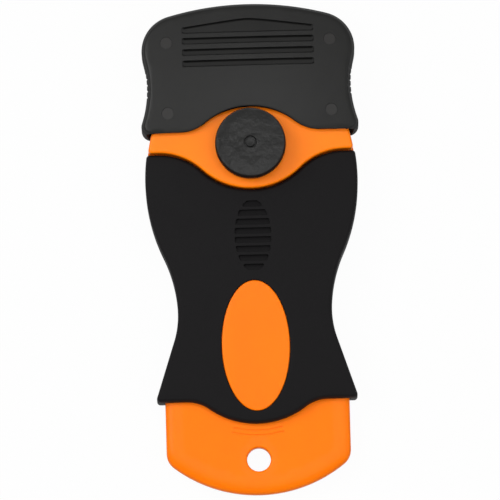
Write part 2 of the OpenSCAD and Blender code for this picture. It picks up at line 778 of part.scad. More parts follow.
module bottom_shell() {
    core_back_y = shoulder_y + core_rib;
    core_front_y = jaw_y - core_edge;
    core_w = (2 * nose_half - core_rib * (core_count + 1)) / core_count;
    rail_front_y = door_front_y + shell_t;
    color([1, 0.45, 0.09]) difference() {
        union() {
            // Tray under the grip
            difference() {
                translate([0, 0, skin_t]) linear_extrude(part_z - skin_t) shell_plan();
                translate([0, 0, skin_t + shell_t]) linear_extrude(part_z) difference() {
                    shell_plan(skin_t + shell_t, shell_t);
                    translate([-rail_half, -reach]) square([2 * rail_half, reach + rail_front_y]);
                    for (x = [-case_x, case_x]) for (y = case_ys) translate([x, y]) circle(case_foot_r);
                }
            }
            // Head block with the shoulder and the nose
            intersection() {
                translate([0, 0, skin_t]) linear_extrude(part_z - skin_t) {
                    yoke_plan();
                    nose_plan(nose_half, jaw_y);
                    intersection() {
                        handle_sides(skin_t);
                        ahead_of_yoke(-cover_gap - over);
                        translate([-reach, -reach]) square([2 * reach, reach + shoulder_y - over]);
                    }
                }
                rotate([90, 0, 90]) linear_extrude(2 * reach, center = true) polygon([
                    [-reach, skin_t], [jaw_y - (jaw_y - shoulder_y) * nose_flat_share, skin_t],
                    [jaw_y, skin_t + nose_rise], [jaw_y, part_z], [-reach, part_z]]);
            }
            translate([0, 0, tail_z]) linear_extrude(tail_t) tail_plan();
            translate([0, knob_y, part_z - over]) cylinder(r = boss_r, h = boss_h + over);
            for (x = [-post_x, post_x]) translate([x, knob_y + post_ahead, part_z - over])
                cylinder(r = post_r, h = post_h + over);
            for (x = [-notch_span / 2, notch_span / 2]) translate([x, peg_y, part_z - over])
                cylinder(r = peg_r, h = peg_h + over);
        }
        storage_cuts();
        translate([0, knob_y, 0]) cylinder(r = stop_bore_r, h = insert_z);
        translate([0, knob_y, 0]) cylinder(r = insert_r, h = boss_z + over);
        translate([0, tail_y + hole_back, 0]) cylinder(d = hole_d, h = part_z + over);
        for (x = [-case_x, case_x]) for (y = case_ys) translate([x, y, 0]) {
            cylinder(r = case_hole_r, h = part_z + over);
            cylinder(r = case_head_r + run_gap, h = case_seat_z);
        }
        // Moulded pockets under the nose
        for (i = [0 : core_count - 1])
            translate([-nose_half + core_rib + i * (core_w + core_rib), core_back_y, 0])
                cube([core_w, core_front_y - core_back_y, part_z - core_roof_t]);
        for (out = arc_outs) translate([0, bulge_c_y, part_z - arc_d]) rotate([0, 0, -90 - arc_spread])
            rotate_extrude(angle = 2 * arc_spread)
                translate([bulge_r + out - arc_w / 2, 0]) square([arc_w, over]);
    }
}

module oval_prism() {
    translate([0, oval_y, 0]) linear_extrude(2 * crown_z) polygon(ellipse(oval_a, oval_b));
}

module top_shell() {
    color([1, 0.45, 0.09]) difference() {
        union() {
            difference() {
                // The shell's outside, with the oval pad that fills the window in the grip
                union() {
                    intersection() {
                        translate([0, 0, part_z]) linear_extrude(2 * crown_h) shell_plan();
                        grip_crown(skin_t);
                    }
                    intersection() {
                        translate([0, 0, part_z]) oval_prism();
                        grip_crown();
                    }
                }
                intersection() {
                    translate([0, 0, part_z - over]) linear_extrude(2 * crown_h)
                        shell_plan(skin_t + shell_t, shell_t);
                    grip_crown(skin_t + shell_t);
                }
            }
            intersection() {
                union() {
                    for (x = [-case_x, case_x]) for (y = case_ys) translate([x, y, part_z])
                        cylinder(r = case_boss_r, h = crown_h);
                    // Ribs that hold the spare blades down
                    for (y = [-holder_span / 2, holder_span / 2])
                        translate([-holder_half, store_y + y - holder_t / 2, spare_top_z + run_gap])
                            cube([2 * holder_half, holder_t, crown_h + part_z - spare_top_z]);
                }
                grip_crown(skin_t + shell_t / 2);
            }
        }
        for (x = [-case_x, case_x]) for (y = case_ys) translate([x, y, 0])
            cylinder(r = case_pilot_r, h = case_end_z + case_pilot_over);
    }
}

// The hollows between the thumb ribs, each with a steep front wall
module rib_cuts() {
    pitch = 2 * rib_b / rib_count;
    top_z = crown_z - pow(rib_y - crown_y, 2) / (2 * dome_r);
    intersection() {
        translate([0, rib_y, 0]) linear_extrude(2 * crown_z) polygon(ellipse(rib_a, rib_b));
        union() for (i = [0 : rib_count - 1])
            translate([0, rib_y + rib_b - (i + rib_end_share) * pitch, top_z])
                rotate([90, 0, 90]) linear_extrude(2 * rib_a, center = true) polygon([
                    [0, over], [0, 0], [rib_share * pitch, -rib_d], [rib_share * pitch, over]]);
    }
}

module grip_top() {
    color([0.075, 0.075, 0.075]) difference() {
        intersection() {
            translate([0, 0, part_z]) linear_extrude(2 * crown_h) grip_plan();
            grip_crown();
        }
        intersection() {
            translate([0, 0, part_z - over]) linear_extrude(2 * crown_h) shell_plan(skin_t, -over);
            grip_crown(skin_t);
        }
        oval_prism();
        rib_cuts();
    }
}

module grip_bottom() {
    color([0.075, 0.075, 0.075]) difference() {
        linear_extrude(part_z) grip_plan();
        translate([0, 0, skin_t]) linear_extrude(part_z) shell_plan(skin_t, -over);
        translate([0, 0, tail_z]) linear_extrude(part_z) tail_plan();
        translate([-door_lip_half, -reach, -over])
            cube([2 * door_lip_half, reach + door_front_y, part_z]);
        translate([-groove_half, -reach, groove_z])
            cube([2 * groove_half, reach + grip_end_y, groove_h]);
        for (x = [-case_x, case_x]) for (y = case_ys) translate([x, y, -over])
            cylinder(r = case_head_r + run_gap, h = part_z);
    }
}

module case_screws() {
    color([0.25, 0.25, 0.27]) for (x = [-case_x, case_x]) for (y = case_ys)
        translate([x, y, case_seat_z]) difference() {
            union() {
                cylinder(r = case_r, h = case_l);
                translate([0, 0, -case_head_t]) cylinder(r = case_head_r, h = case_head_t);
            }
            for (a = [0, 90]) rotate([0, 0, a])
                translate([-cross_l / 2, -cross_w / 2, -case_head_t - over])
                    cube([cross_l, cross_w, cross_d + over]);
        }
}

module storage_door() {
    plate_half = door_lip_half - run_gap;
    ridge_y = door_front_y - door_ridge_back;
    color([0.09, 0.09, 0.088]) intersection() {
        union() {
            translate([-plate_half, -reach, door_under_z])
                cube([2 * plate_half, reach + door_front_y - run_gap,
                      groove_top_z - door_gap - door_under_z]);
            translate([-groove_half + run_gap, -reach, groove_z + door_gap])
                cube([2 * (groove_half - run_gap), reach + door_front_y - run_gap, groove_h - 2 * door_gap]);
            for (i = [0 : door_ridge_count - 1])
                translate([-plate_half + over, ridge_y - i * door_ridge_pitch, door_under_z - door_ridge_h])
                    cube([2 * (plate_half - over), door_ridge_w, door_ridge_h + over]);
        }
        linear_extrude(part_z) intersection() {
            handle_sides();
            ahead_of_tail();
        }
    }
}

blade_guard();
razor_blade();
clamp_cover();
clamp_knob();
knob_screw();
thrust_washer();
stop_ring();
lift_spring();
threaded_insert();
top_shell();
bottom_shell();
grip_top();
grip_bottom();
case_screws();
storage_door();
spare_blade(1);  // spare_blade_1
spare_blade(2);  // spare_blade_2
spare_blade(3);  // spare_blade_3
spare_blade(4);  // spare_blade_4
spare_blade(5);  // spare_blade_5
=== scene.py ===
# %% [markdown]
# # A wide razor blade scraper, piece by piece
# The scraper lies on its back. X runs across it, +Y points to the blade and +Z is the knob's
# side. The construction was drawn first as exact solids, and this script dresses them: it gives
# each moulded piece its rounded edges and each surface its finish.

import json
import math

import bmesh
import bpy
import numpy as np
from mathutils import Matrix, Vector
from mathutils.geometry import delaunay_2d_cdt

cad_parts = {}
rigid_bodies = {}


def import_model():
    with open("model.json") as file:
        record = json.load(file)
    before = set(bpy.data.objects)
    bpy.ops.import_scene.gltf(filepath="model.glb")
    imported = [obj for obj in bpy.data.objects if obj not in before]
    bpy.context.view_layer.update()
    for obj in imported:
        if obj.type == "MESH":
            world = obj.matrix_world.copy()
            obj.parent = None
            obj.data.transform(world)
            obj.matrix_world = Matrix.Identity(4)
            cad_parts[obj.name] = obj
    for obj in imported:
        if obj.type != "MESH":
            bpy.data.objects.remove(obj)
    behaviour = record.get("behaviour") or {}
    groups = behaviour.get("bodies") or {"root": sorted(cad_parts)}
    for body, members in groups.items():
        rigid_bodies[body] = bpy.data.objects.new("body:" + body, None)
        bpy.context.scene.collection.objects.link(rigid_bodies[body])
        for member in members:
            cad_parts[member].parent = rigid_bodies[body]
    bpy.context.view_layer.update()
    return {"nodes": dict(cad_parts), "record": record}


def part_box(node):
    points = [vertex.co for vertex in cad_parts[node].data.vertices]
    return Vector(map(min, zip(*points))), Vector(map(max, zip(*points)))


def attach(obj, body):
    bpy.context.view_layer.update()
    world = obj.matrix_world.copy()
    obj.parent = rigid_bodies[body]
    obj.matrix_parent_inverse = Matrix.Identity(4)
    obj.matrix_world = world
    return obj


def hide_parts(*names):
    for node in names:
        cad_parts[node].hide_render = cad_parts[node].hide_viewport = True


for leftover in list(bpy.data.objects):
    bpy.data.objects.remove(leftover)
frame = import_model()
nodes = frame["nodes"]

# %% [markdown]
# ## Units and stations
# Sizes are written in millimetres, as on a maker's drawing, and become metres when a mesh is
# made. The stations along the tool are read from the solids, so that a changed part moves them.

# %% Read the main stations from the frame
MM = 0.001


def span(node):
    """Lowest and highest corner of a solid, in millimetres."""
    low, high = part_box(node)
    return np.array(low) / MM, np.array(high) / MM


front_y = span("blade_guard")[1][1]
tail_y = span("bottom_shell")[0][1]
part_z = span("razor_blade")[0][2]
guard_rear_y = span("blade_guard")[0][1]
knob_y = (span("clamp_knob")[0][1] + span("clamp_knob")[1][1]) / 2
knob_low_z, knob_top_z = span("clamp_knob")[0][2], span("clamp_knob")[1][2]
WASHER_PROUD = 0.3
cover_z = span("thrust_washer")[1][2] - WASHER_PROUD
print("front %.2f tail %.2f parting plane %.2f knob axis %.2f" % (front_y, tail_y, part_z, knob_y))

# %% [markdown]
# ## Curves
# Nearly every outline on a moulded tool is a chain of tangent arcs, so an arc, a chain and a
# mirror are enough to draw them. A helper could also trace the solids' edges, but arcs from the
# drawing stay smooth at any fineness.

# %% Arcs, chains and mirrored sides


def arc(centre, radius, start, end, steps=16):
    """Centre plus radius times (cos a, sin a), with a running from start to end in degrees."""
    a = np.radians(np.linspace(start, end, steps + 1))
    return np.array(centre) + radius * np.stack([np.cos(a), np.sin(a)], 1)


def chain(*parts):
    """Point rows joined end to end, without the points that repeat the one before."""
    points = np.concatenate([np.atleast_2d(np.asarray(p, float)) for p in parts])
    fresh = np.r_[True, np.abs(np.diff(points, axis=0)).max(1) > 1e-6]
    return points[fresh]


def mirrored(points):
    """The same points with X turned over, in reverse order."""
    return points[::-1] * [-1, 1]


def both_sides(right):
    """A right side that runs from the front middle to the rear middle, closed by its mirror.
    The order is turned so that the loop runs anticlockwise as seen from above."""
    loop = chain(right, mirrored(right))
    return loop[:-1][::-1] if np.allclose(loop[0], loop[-1]) else loop[::-1]


def bulge(y, depth, mid_r, side_r, way, steps=14):
    """Half of an edge that runs straight in from the side and bulges by depth in the middle:
    an arc of mid_r round the middle line, then one of side_r that ends level at y."""
    a = math.degrees(math.acos(1 - depth / (mid_r + side_r)))
    side_x = (mid_r + side_r) * math.sin(math.radians(a))
    half = chain(arc([0, depth - mid_r], mid_r, 90, 90 - a, steps),
                 arc([side_x, side_r], side_r, 270 - a, 270, steps))
    return half * [1, way] + [0, y]


print("a bulge of 7.4 mm reaches out to x = %.2f" % bulge(0, 7.4, 24, 7.5, -1)[-1][0])

# %% [markdown]
# ## Moving an outline in, and rounding its corners
# A moulded edge is a stack of rings: each ring is the outline moved in a little and raised a
# little. Moving a point along the bisector of its two edges keeps the wall's thickness even.
# Sharp corners are rounded first, because a ring can't be moved in further than its corner's
# radius without crossing itself.

# %% Bisectors, insets and rounded corners


def bisectors(path, closed=True):
    """For each point, the left normals of its two edges, added and stretched so that a step of
    one along the result moves both edges in by one."""
    ahead = np.roll(path, -1, 0) - path
    back = path - np.roll(path, 1, 0)
    if not closed:
        ahead[-1], back[0] = back[-1], ahead[0]
    ahead /= np.maximum(np.linalg.norm(ahead, axis=1, keepdims=True), 1e-9)
    back /= np.maximum(np.linalg.norm(back, axis=1, keepdims=True), 1e-9)
    left = np.stack([-ahead[:, 1] - back[:, 1], ahead[:, 0] + back[:, 0]], 1)
    return left / np.maximum(1 + (ahead * back).sum(1), 0.5)[:, None]


def moved_in(path, distance, closed=True):
    """The path moved to its left by a distance, which may differ from point to point."""
    return path + np.reshape(distance, (-1, 1)) * bisectors(path, closed)


def rounded(loop, outer, inner=None, sharp=25, steps=8):
    """Each corner of a closed loop that turns by more than sharp degrees becomes an arc of the
    outer radius, or of the inner one where the corner is hollow. It starts and ends
    radius * tan(turn / 2) from the corner, and is a cubic curve that leaves both edges
    level: a pull of 4/3 tan(turn / 4) radii makes that curve follow a circle."""
    ahead = np.roll(loop, -1, 0) - loop
    heading = np.degrees(np.arctan2(ahead[:, 1], ahead[:, 0]))
    turn = (heading - np.roll(heading, 1) + 180) % 360 - 180
    corners = np.nonzero(np.abs(turn) > sharp)[0]
    length = np.r_[0, np.cumsum(np.linalg.norm(ahead, axis=1))]
    ring = np.vstack([loop, loop[:1]])
    along, curve, gone = [length[:-1]], [loop], np.zeros(len(loop), bool)
    total = length[-1]
    for c in corners:
        radius = outer if turn[c] > 0 or inner is None else inner
        reach = radius * math.tan(math.radians(abs(turn[c]) / 2))
        pull = 4 / 3 * radius * math.tan(math.radians(abs(turn[c]) / 4))
        here = (length[:-1] - length[c] + total / 2) % total - total / 2
        gone |= np.abs(here) < reach
        first, last = [np.array([np.interp((length[c] + side * reach) % total, length, ring[:, k])
                                 for k in (0, 1)]) for side in (-1, 1)]
        leave, arrive = [ahead[np.searchsorted(length, (length[c] + side * reach) % total) - 1]
                         for side in (-1, 1)]
        second = first + pull * leave / np.linalg.norm(leave)
        third = last - pull * arrive / np.linalg.norm(arrive)
        u = np.linspace(0, 1, steps + 1)[:, None]
        curve.append((1 - u) ** 3 * first + 3 * u * (1 - u) ** 2 * second
                     + 3 * u ** 2 * (1 - u) * third + u ** 3 * last)
        along.append((length[c] + reach * (2 * u[:, 0] - 1)) % total)
    keep = [~gone] + [np.ones(len(a), bool) for a in along[1:]]
    along, curve, keep = np.concatenate(along), np.concatenate(curve), np.concatenate(keep)
    order = np.argsort(along[keep], kind="stable")
    return chain(curve[keep][order])


def finer(path, step, closed=True):
    """Extra points along each edge, so that none is longer than step."""
    ring = np.vstack([path, path[:1]]) if closed else path
    length = np.r_[0, np.cumsum(np.linalg.norm(np.diff(ring, axis=0), axis=1))]
    extra = np.linspace(0, length[-1], max(2, int(length[-1] / step) + 1))
    nearest = np.abs(length[:, None] - extra[None]).min(0)
    at = np.sort(np.concatenate([length, extra[nearest > step / 3]]))
    out = np.stack([np.interp(at, length, ring[:, k]) for k in (0, 1)], 1)
    return out[:-1] if closed else out


square = rounded(np.array([[0.0, 0], [10, 0], [10, 10], [0, 10]]), 2)
print("a rounded square has", len(square), "points and starts at", square[0].round(2))

# %% [markdown]
# ## Walls and sheets
# A wall is a grid: one row of points for each ring, joined by four-sided faces. A top with
# ramps, ribs and windows doesn't fit a grid, so it is a sheet: its outline and the edges of its
# features are lines, a triangulation keeps those lines as edges, and the height of each point
# is a formula. A steep little wall is two lines a few hundredths apart.

# %% Grids of rings and triangulated sheets
STEEP = 0.03


def wall(rows, closed=True):
    """Rows of points (row, point, xyz) joined into faces that point to the right of the path."""
    rows = np.asarray(rows, float)
    count, points = rows.shape[:2]
    index = np.arange(count * points).reshape(count, points)
    after = np.roll(index, -1, 1) if closed else index[:, 1:]
    here = index if closed else index[:, :-1]
    faces = np.stack([here[:-1], after[:-1], after[1:], here[1:]], -1).reshape(-1, 4)
    return rows.reshape(-1, 3), faces


def lifted(path, height):
    """A flat path with its heights: one number, one for each point, or a formula of x and y."""
    z = height(path[:, 0], path[:, 1]) if callable(height) else height
    return np.column_stack([path, np.broadcast_to(z, len(path))])


def inside(points, loops):
    """True where a ray to the right crosses the loops an odd number of times."""
    odd = np.zeros(len(points), bool)
    for block in np.array_split(np.arange(len(points)), max(1, len(points) // 3000)):
        x, y = points[block, 0:1], points[block, 1:2]
        for a in loops:
            b = np.roll(a, -1, 0)
            across = (a[:, 1] > y) != (b[:, 1] > y)
            rise = np.where(b[:, 1] == a[:, 1], 1e-12, b[:, 1] - a[:, 1])
            cut_x = a[:, 0] + (y - a[:, 1]) * (b[:, 0] - a[:, 0]) / rise
            odd[block] ^= (across & (x < cut_x)).sum(1) % 2 == 1
    return odd


def away(points, path, closed=True):
    """Distance from each point to the nearest edge of a path."""
    ends = np.roll(path, -1, 0) if closed else path[1:]
    starts = path if closed else path[:-1]
    least = np.empty(len(points))
    for block in np.array_split(np.arange(len(points)), max(1, len(points) // 2000)):
        rel = points[block, None] - starts[None]
        along = ends - starts
        share = np.clip((rel * along).sum(2) / np.maximum((along ** 2).sum(1), 1e-12), 0, 1)
        least[block] = np.linalg.norm(rel - share[..., None] * along, axis=2).min(1)
    return least


def single(path):
    """The path rounded to single precision."""
    return path.astype(np.float32).astype(float)


def sheet(outline, holes, lines, height, step, up=True):
    """A triangulated sheet inside an outline and outside its holes. Lines are (path, closed)
    pairs that stay edges. The height of a point is the formula height(x, y). The triangulation
    works with single precision, so the points are rounded to that first."""
    outline = single(outline)
    holes = [single(h) for h in holes]
    paths = [(outline, True)] + [(h, True) for h in holes] + [(single(p), c) for p, c in lines]
    points = np.concatenate([p for p, _ in paths])
    edges, at = [], 0
    for path, closed in paths:
        i = np.arange(at, at + len(path))
        edges.append(np.stack([i, np.roll(i, -1)], 1)[:len(path) if closed else -1])
        at += len(path)
    low = outline.min(0)
    size = np.ceil((outline.max(0) - low) / step).astype(int) + 1
    free = np.ones(size, bool)
    near = np.rint((points - low) / step).astype(int)
    free[tuple(np.clip(near, 0, size - 1).T)] = False
    grid = np.argwhere(free) * step + low
    grid = grid[inside(grid, [outline, *holes])]
    grid = grid[np.min([away(grid, path, closed) for path, closed in paths], 0) > 0.3 * step]
    every = np.concatenate([points, grid])
    found = delaunay_2d_cdt([Vector(p) for p in every.tolist()],
                            np.concatenate(edges).tolist(), [], 0, 1e-6)
    flat = np.array([v[:] for v in found[0]])
    faces = np.array(found[2])
    centres = flat[faces].mean(1)
    faces = faces[inside(centres, [outline, *holes])]
    a, b, c = (flat[faces[:, k]] for k in range(3))
    left = (b - a)[:, 0] * (c - a)[:, 1] - (b - a)[:, 1] * (c - a)[:, 0] > 0
    faces[left != up] = faces[left != up][:, ::-1]
    return lifted(flat, height), faces


def step_lines(loop, fine=0.8):
    """The two lines of a steep little wall: the loop moved in and out by a few hundredths."""
    dense = finer(loop, fine)
    return [(moved_in(dense, STEEP), True), (moved_in(dense, -STEEP), True)]


print("helpers for walls and sheets are ready")

# %% [markdown]
# ## From arrays to a piece
# Each surface is a list of points and a list of faces. A piece joins its surfaces, merges the
# points that meet, marks edges sharper than 35 degrees and smooths the rest. A moulding has
# an even wall, so one made as a skin gets its thickness from Solidify, inwards. The modifiers
# are applied at once, so that what follows can measure the finished mesh.

# %% Join surfaces into one piece
SHARP = math.radians(35)


def new_object(name, data):
    """An object in the scene with this mesh, lamp or camera."""
    made = bpy.data.objects.new(name, data)
    bpy.context.scene.collection.objects.link(made)
    return made


def merge_points(mesh, closer_than, then=None):
    """Merges the points of a mesh that lie closer than a distance in metres. then is one more
    step on the same editable mesh."""
    work = bmesh.new()
    work.from_mesh(mesh)
    bmesh.ops.remove_doubles(work, verts=work.verts, dist=closer_than)
    if then:
        then(work)
    work.to_mesh(mesh)
    work.free()


def without_slivers(work):
    """Takes out edges shorter than a ten-thousandth of a millimetre."""
    bmesh.ops.dissolve_degenerate(work, edges=work.edges, dist=1e-7)


def finished(piece, body, replaces=()):
    """Applies the modifiers of a piece and smooths all but its sharp edges. It rides on a body
    and stands for the solids that it replaces, which are hidden."""
    bpy.context.view_layer.update()
    shown = piece.evaluated_get(bpy.context.evaluated_depsgraph_get())
    mesh = bpy.data.meshes.new_from_object(shown)
    piece.modifiers.clear()
    piece.data = mesh
    mesh.name = piece.name
    mesh.shade_smooth()
    mesh.set_sharp_from_angle(angle=SHARP)
    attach(piece, body)
    if replaces:
        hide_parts(*replaces)
    print("%-14s %6d points %6d faces" % (piece.name, len(mesh.vertices), len(mesh.polygons)))
    return piece


def as_piece(name, surfaces, body, replaces=(), thickness=0):
    """Joined surfaces as one object that rides on a body. Points closer than two microns are
    merged. thickness is the wall in millimetres, laid on the inner side."""
    points = np.concatenate([p for p, _ in surfaces]) * MM
    faces, at = [], 0
    for p, f in surfaces:
        faces += (f + at).tolist()
        at += len(p)
    mesh = bpy.data.meshes.new(name)
    mesh.from_pydata(points.tolist(), [], faces)
    merge_points(mesh, 2e-6, without_slivers)
    piece = new_object(name, mesh)
    if thickness:
        shell = piece.modifiers.new("wall", "SOLIDIFY")
        shell.thickness = thickness * MM
        shell.offset = -1
    return finished(piece, body, replaces)


def open_edges(piece):
    """How many edges of a piece have only one face: none, where it is closed."""
    check = bmesh.new()
    check.from_mesh(piece.data)
    count = sum(1 for e in check.edges if e.is_boundary)
    check.free()
    return count


def quarter(width, drop, steps=6):
    """A quarter of an ellipse as (inset, drop) pairs, from the wall up to the top:
    inset = width (1 - cos t) and drop = drop (1 - sin t)."""
    t = np.linspace(0, math.pi / 2, steps + 1)
    return np.stack([width * (1 - np.cos(t)), drop * (1 - np.sin(t))], 1)


def rolled(gap, radius):
    """How far a rounded edge has dropped at a gap from its rim: r - sqrt(r^2 - (r - gap)^2)."""
    left = radius - np.minimum(gap, radius)
    return radius - np.sqrt(radius ** 2 - left ** 2)


print("a rounded edge has", len(quarter(1, 1)), "rings, and drops", rolled(0, 1), "at its rim")

# %% [markdown]
# ## The blade guard
# A push-on cap of satin black plastic. Its plan is a bowed front, two front corners, two hollow
# finger grips with coarse V notches, and flared rear corners. The top is a very flat dome. The
# rear edge leans forward as it rises, so the last arc of each ring ends where the ring's
# height meets that leaning plane. Modelling the cap as a box with bevels would lose the hollow
# sides, so each ring is drawn from arcs.

# %% Outline of the guard
GUARD_FRONT_R, GUARD_CORNER_R, GUARD_WAIST_R, GUARD_FLARE_R = 98, 11.9, 36, 3.2
GUARD_WAIST_HALF, GUARD_FRONT_HALF, GUARD_FLARE_HALF = 33.15, 34.65, 35.3
GUARD_HEEL, GUARD_HIGH = 0.65, 18.5
NOTCHES, NOTCH_PITCH, NOTCH_DEPTH, NOTCH_SHARE = 5, 2.0, 0.45, 0.28
NOTCH_AHEAD = 1.0  # how far the middle notch lies ahead of the waist, towards the blade
guard_front_c = np.array([0, front_y - GUARD_FRONT_R])
corner_x = GUARD_FRONT_HALF - GUARD_CORNER_R
corner_c = np.array([corner_x, guard_front_c[1]
                     + math.sqrt((GUARD_FRONT_R - GUARD_CORNER_R) ** 2 - corner_x ** 2)])
waist_x = GUARD_WAIST_HALF + GUARD_WAIST_R
waist_c = np.array([waist_x, corner_c[1] - math.sqrt((GUARD_WAIST_R + GUARD_CORNER_R) ** 2
                                                      - (waist_x - corner_x) ** 2)])
flare_x = GUARD_FLARE_HALF - GUARD_FLARE_R
flare_c = np.array([flare_x, waist_c[1] - math.sqrt((GUARD_WAIST_R + GUARD_FLARE_R) ** 2
                                                     - (waist_x - flare_x) ** 2)])


def rear_at(z):
    """Y of the leaning rear plane at a height."""
    return guard_rear_y + GUARD_HEEL * z / GUARD_HIGH


def guard_side(inset, z, notch=0.0, sunk=0.0):
    """The guard's right side from front to rear, moved in. notch scales the depth of the V
    grooves, and sunk that of the lands between them."""
    a_corner = math.degrees(math.atan2(corner_c[1] - guard_front_c[1], corner_c[0]))
    a_waist = 180 + math.degrees(math.atan2(waist_c[1] - corner_c[1], waist_c[0] - corner_c[0]))
    a_flare = math.degrees(math.atan2(waist_c[1] - flare_c[1], waist_c[0] - flare_c[0]))
    turn = math.degrees(NOTCH_PITCH / GUARD_WAIST_R)
    half = NOTCHES * turn / 2
    first = 180 - math.degrees(NOTCH_AHEAD / GUARD_WAIST_R) - half
    places = first + turn * (np.repeat(np.arange(NOTCHES), 3) + 0.5
                             + np.tile([-NOTCH_SHARE, 0, NOTCH_SHARE], NOTCHES))
    a = np.radians(places)
    out = np.stack([np.cos(a), np.sin(a)], 1)
    deep = NOTCH_DEPTH * np.tile([sunk, max(notch, sunk), sunk], NOTCHES)
    grooves = waist_c + (GUARD_WAIST_R + inset + deep)[:, None] * out
    reach = max(GUARD_FLARE_R - inset, 0.2)
    last = math.degrees(math.asin(np.clip((flare_c[1] - rear_at(z)) / reach, 0, 1)))
    flare = arc(flare_c, reach, a_flare, -last, 10)
    side = chain(arc(guard_front_c, GUARD_FRONT_R - inset, 90, a_corner, 30),
                 arc(corner_c, GUARD_CORNER_R - inset, a_corner, a_waist - 180, 20),
                 arc(waist_c, GUARD_WAIST_R + inset, a_waist, first, 8), grooves,
                 arc(waist_c, GUARD_WAIST_R + inset, first + 2 * half, 180 + a_flare, 8), flare)
    return np.concatenate([side, [[flare[-1, 0], rear_at(z)]]])


def guard_path(inset, z, notch=0.0, sunk=0.0):
    """Open path round the guard, from the right rear corner over the front to the left."""
    side = guard_side(inset, z, notch, sunk)
    return np.concatenate([side[::-1], side[1:] * [-1, 1]])


print("guard: half widths %.2f %.2f %.2f" % (GUARD_FRONT_HALF, GUARD_WAIST_HALF, GUARD_FLARE_HALF))

# %% [markdown]
# ## Thumb ramps and round marks
# The guard's top carries four ramps that the thumb pushes against, each with a fine dark line
# round its foot, and the four round marks that the mould's pins leave. Cutting them with
# booleans would leave ragged shading on so flat a dome. Here they are terms in one formula for
# the height, and their outlines become edges of the sheet.

# %% Height of the guard's top, with its ramps and marks
DOME_R, DOME_TILT = 400, math.radians(5.8)
lip_y = guard_rear_y + GUARD_HEEL
DOME_TOP_Y = (lip_y + front_y) / 2 - DOME_R * math.sin(DOME_TILT)
DOME_TOP_Z = GUARD_HIGH + DOME_R - math.sqrt(DOME_R ** 2 - (lip_y - DOME_TOP_Y) ** 2)
RAMP_HALF, RAMP_LONG, RAMP_LEAD, RAMP_ROUND = 21.4, 2.25, 0.3, 0.7
RAMP_DEEP, RAMP_STEP = 0.5, 0.26
RAMP_AHEAD, PLAIN_AHEAD, RAMP_PITCH = 9.7, 3.6, 3.75
POINT, POINT_SOFT = 2.75, 2.5
GROOVE_NEAR, GROOVE_FAR, GROOVE_DEEP, GROOVE_SHORT = 0.09, 0.66, 1.0, 0.6
LINE_NEAR, LINE_FAR, LINE_DEEP, LINE_SHORT = 0.06, 0.34, 0.45, 0.3
MARK_R, MARK_DEEP, MARK_X, MARK_FRONT, MARK_REAR = 1.95, 0.25, 26.6, 12.5, 6.4
ramp_front_y = front_y - RAMP_AHEAD
plain_rows = ramp_front_y - PLAIN_AHEAD - RAMP_PITCH * np.arange(3)
mark_places = [(x, y) for x in (-MARK_X, MARK_X)
               for y in (front_y - MARK_FRONT, lip_y + MARK_REAR)]


def guard_dome(x, y):
    """A sphere of radius 400 whose top lies over the handle's front."""
    return DOME_TOP_Z - DOME_R + np.sqrt(DOME_R ** 2 - x ** 2 - (y - DOME_TOP_Y) ** 2)


def ramp_front(half, y, point):
    """The front edge of a ramp: level, or in two slants that meet in a soft point."""
    x = np.linspace(half, -half, 41)
    slant = (np.sqrt(x ** 2 + POINT_SOFT ** 2) - POINT_SOFT) / (RAMP_HALF - POINT_SOFT / 2)
    return np.stack([x, y - point * slant], 1)


def ramp_loop(rear, long, point=0.0):
    """A ramp seen from above: a strip with rounded corners."""
    front = ramp_front(RAMP_HALF, rear + long, point)
    return rounded(np.concatenate([[[-RAMP_HALF, rear], [RAMP_HALF, rear]], front]), RAMP_ROUND)


def groove_loop(rear, long, point=0.0):
    """The fine groove at the foot of a ramp's front wall, which draws it as a dark line."""
    half = RAMP_HALF - GROOVE_SHORT
    near = ramp_front(half, rear + long - GROOVE_NEAR, point)
    far = ramp_front(half, rear + long - GROOVE_FAR, point)
    return np.concatenate([near, far[::-1]])


def outline_loop(rear, long, point=0.0):
    """The fine groove along the other sides of a ramp: a U, from wall to wall round the rear."""
    ramp = ramp_loop(rear, long, point)
    ramp = np.roll(ramp, -int(np.argmax(ramp[:, 1])), 0)
    near, far = moved_in(ramp, LINE_NEAR), moved_in(ramp, LINE_FAR)
    kept = ramp[:, 1] < rear + long - point - GROOVE_FAR - LINE_SHORT
    return np.concatenate([near[kept], far[kept][::-1]])


ramp_sizes = [(ramp_front_y, RAMP_LONG - RAMP_LEAD + POINT, POINT)]
ramp_sizes += [(y, RAMP_LONG, 0.0) for y in plain_rows]
ramps = [(ramp_loop(*sizes), sizes[1]) for sizes in ramp_sizes]
grooves = [groove_loop(*sizes) for sizes in ramp_sizes]
outlines = [outline_loop(*sizes) for sizes in ramp_sizes]
marks = [arc(place, MARK_R, 0, 360, 40)[:-1] for place in mark_places]


def guard_top(x, y):
    """The dome, less a ramp's depth inside each ramp, less the fine grooves and the round marks.
    A ramp starts with a low step at its rear and deepens evenly to its front wall."""
    z = guard_dome(x, y)
    flat = np.stack([x, y], 1)
    for loop, long in ramps:
        rise = np.clip((y - loop[:, 1].min() - RAMP_LEAD) / (long - RAMP_LEAD), 0, 1)
        z = z - (RAMP_STEP + (RAMP_DEEP - RAMP_STEP) * rise) * inside(flat, [loop])
    z = z - GROOVE_DEEP * inside(flat, grooves) - LINE_DEEP * inside(flat, outlines)
    for place in mark_places:
        z = z - MARK_DEEP * (np.hypot(x - place[0], y - place[1]) < MARK_R)
    return z


print("thumb ramps:", len(ramps), "round marks:", len(marks))

# %% [markdown]
# ## The guard's wall, top and floor
# The guard is one moulding with an even wall, open at the rear where it slides on. Its skin is
# a wall of rings, a sheet for the top and one for the floor, and Solidify gives the thickness.
# The teeth of the finger grips stand only in the upper band of the wall.

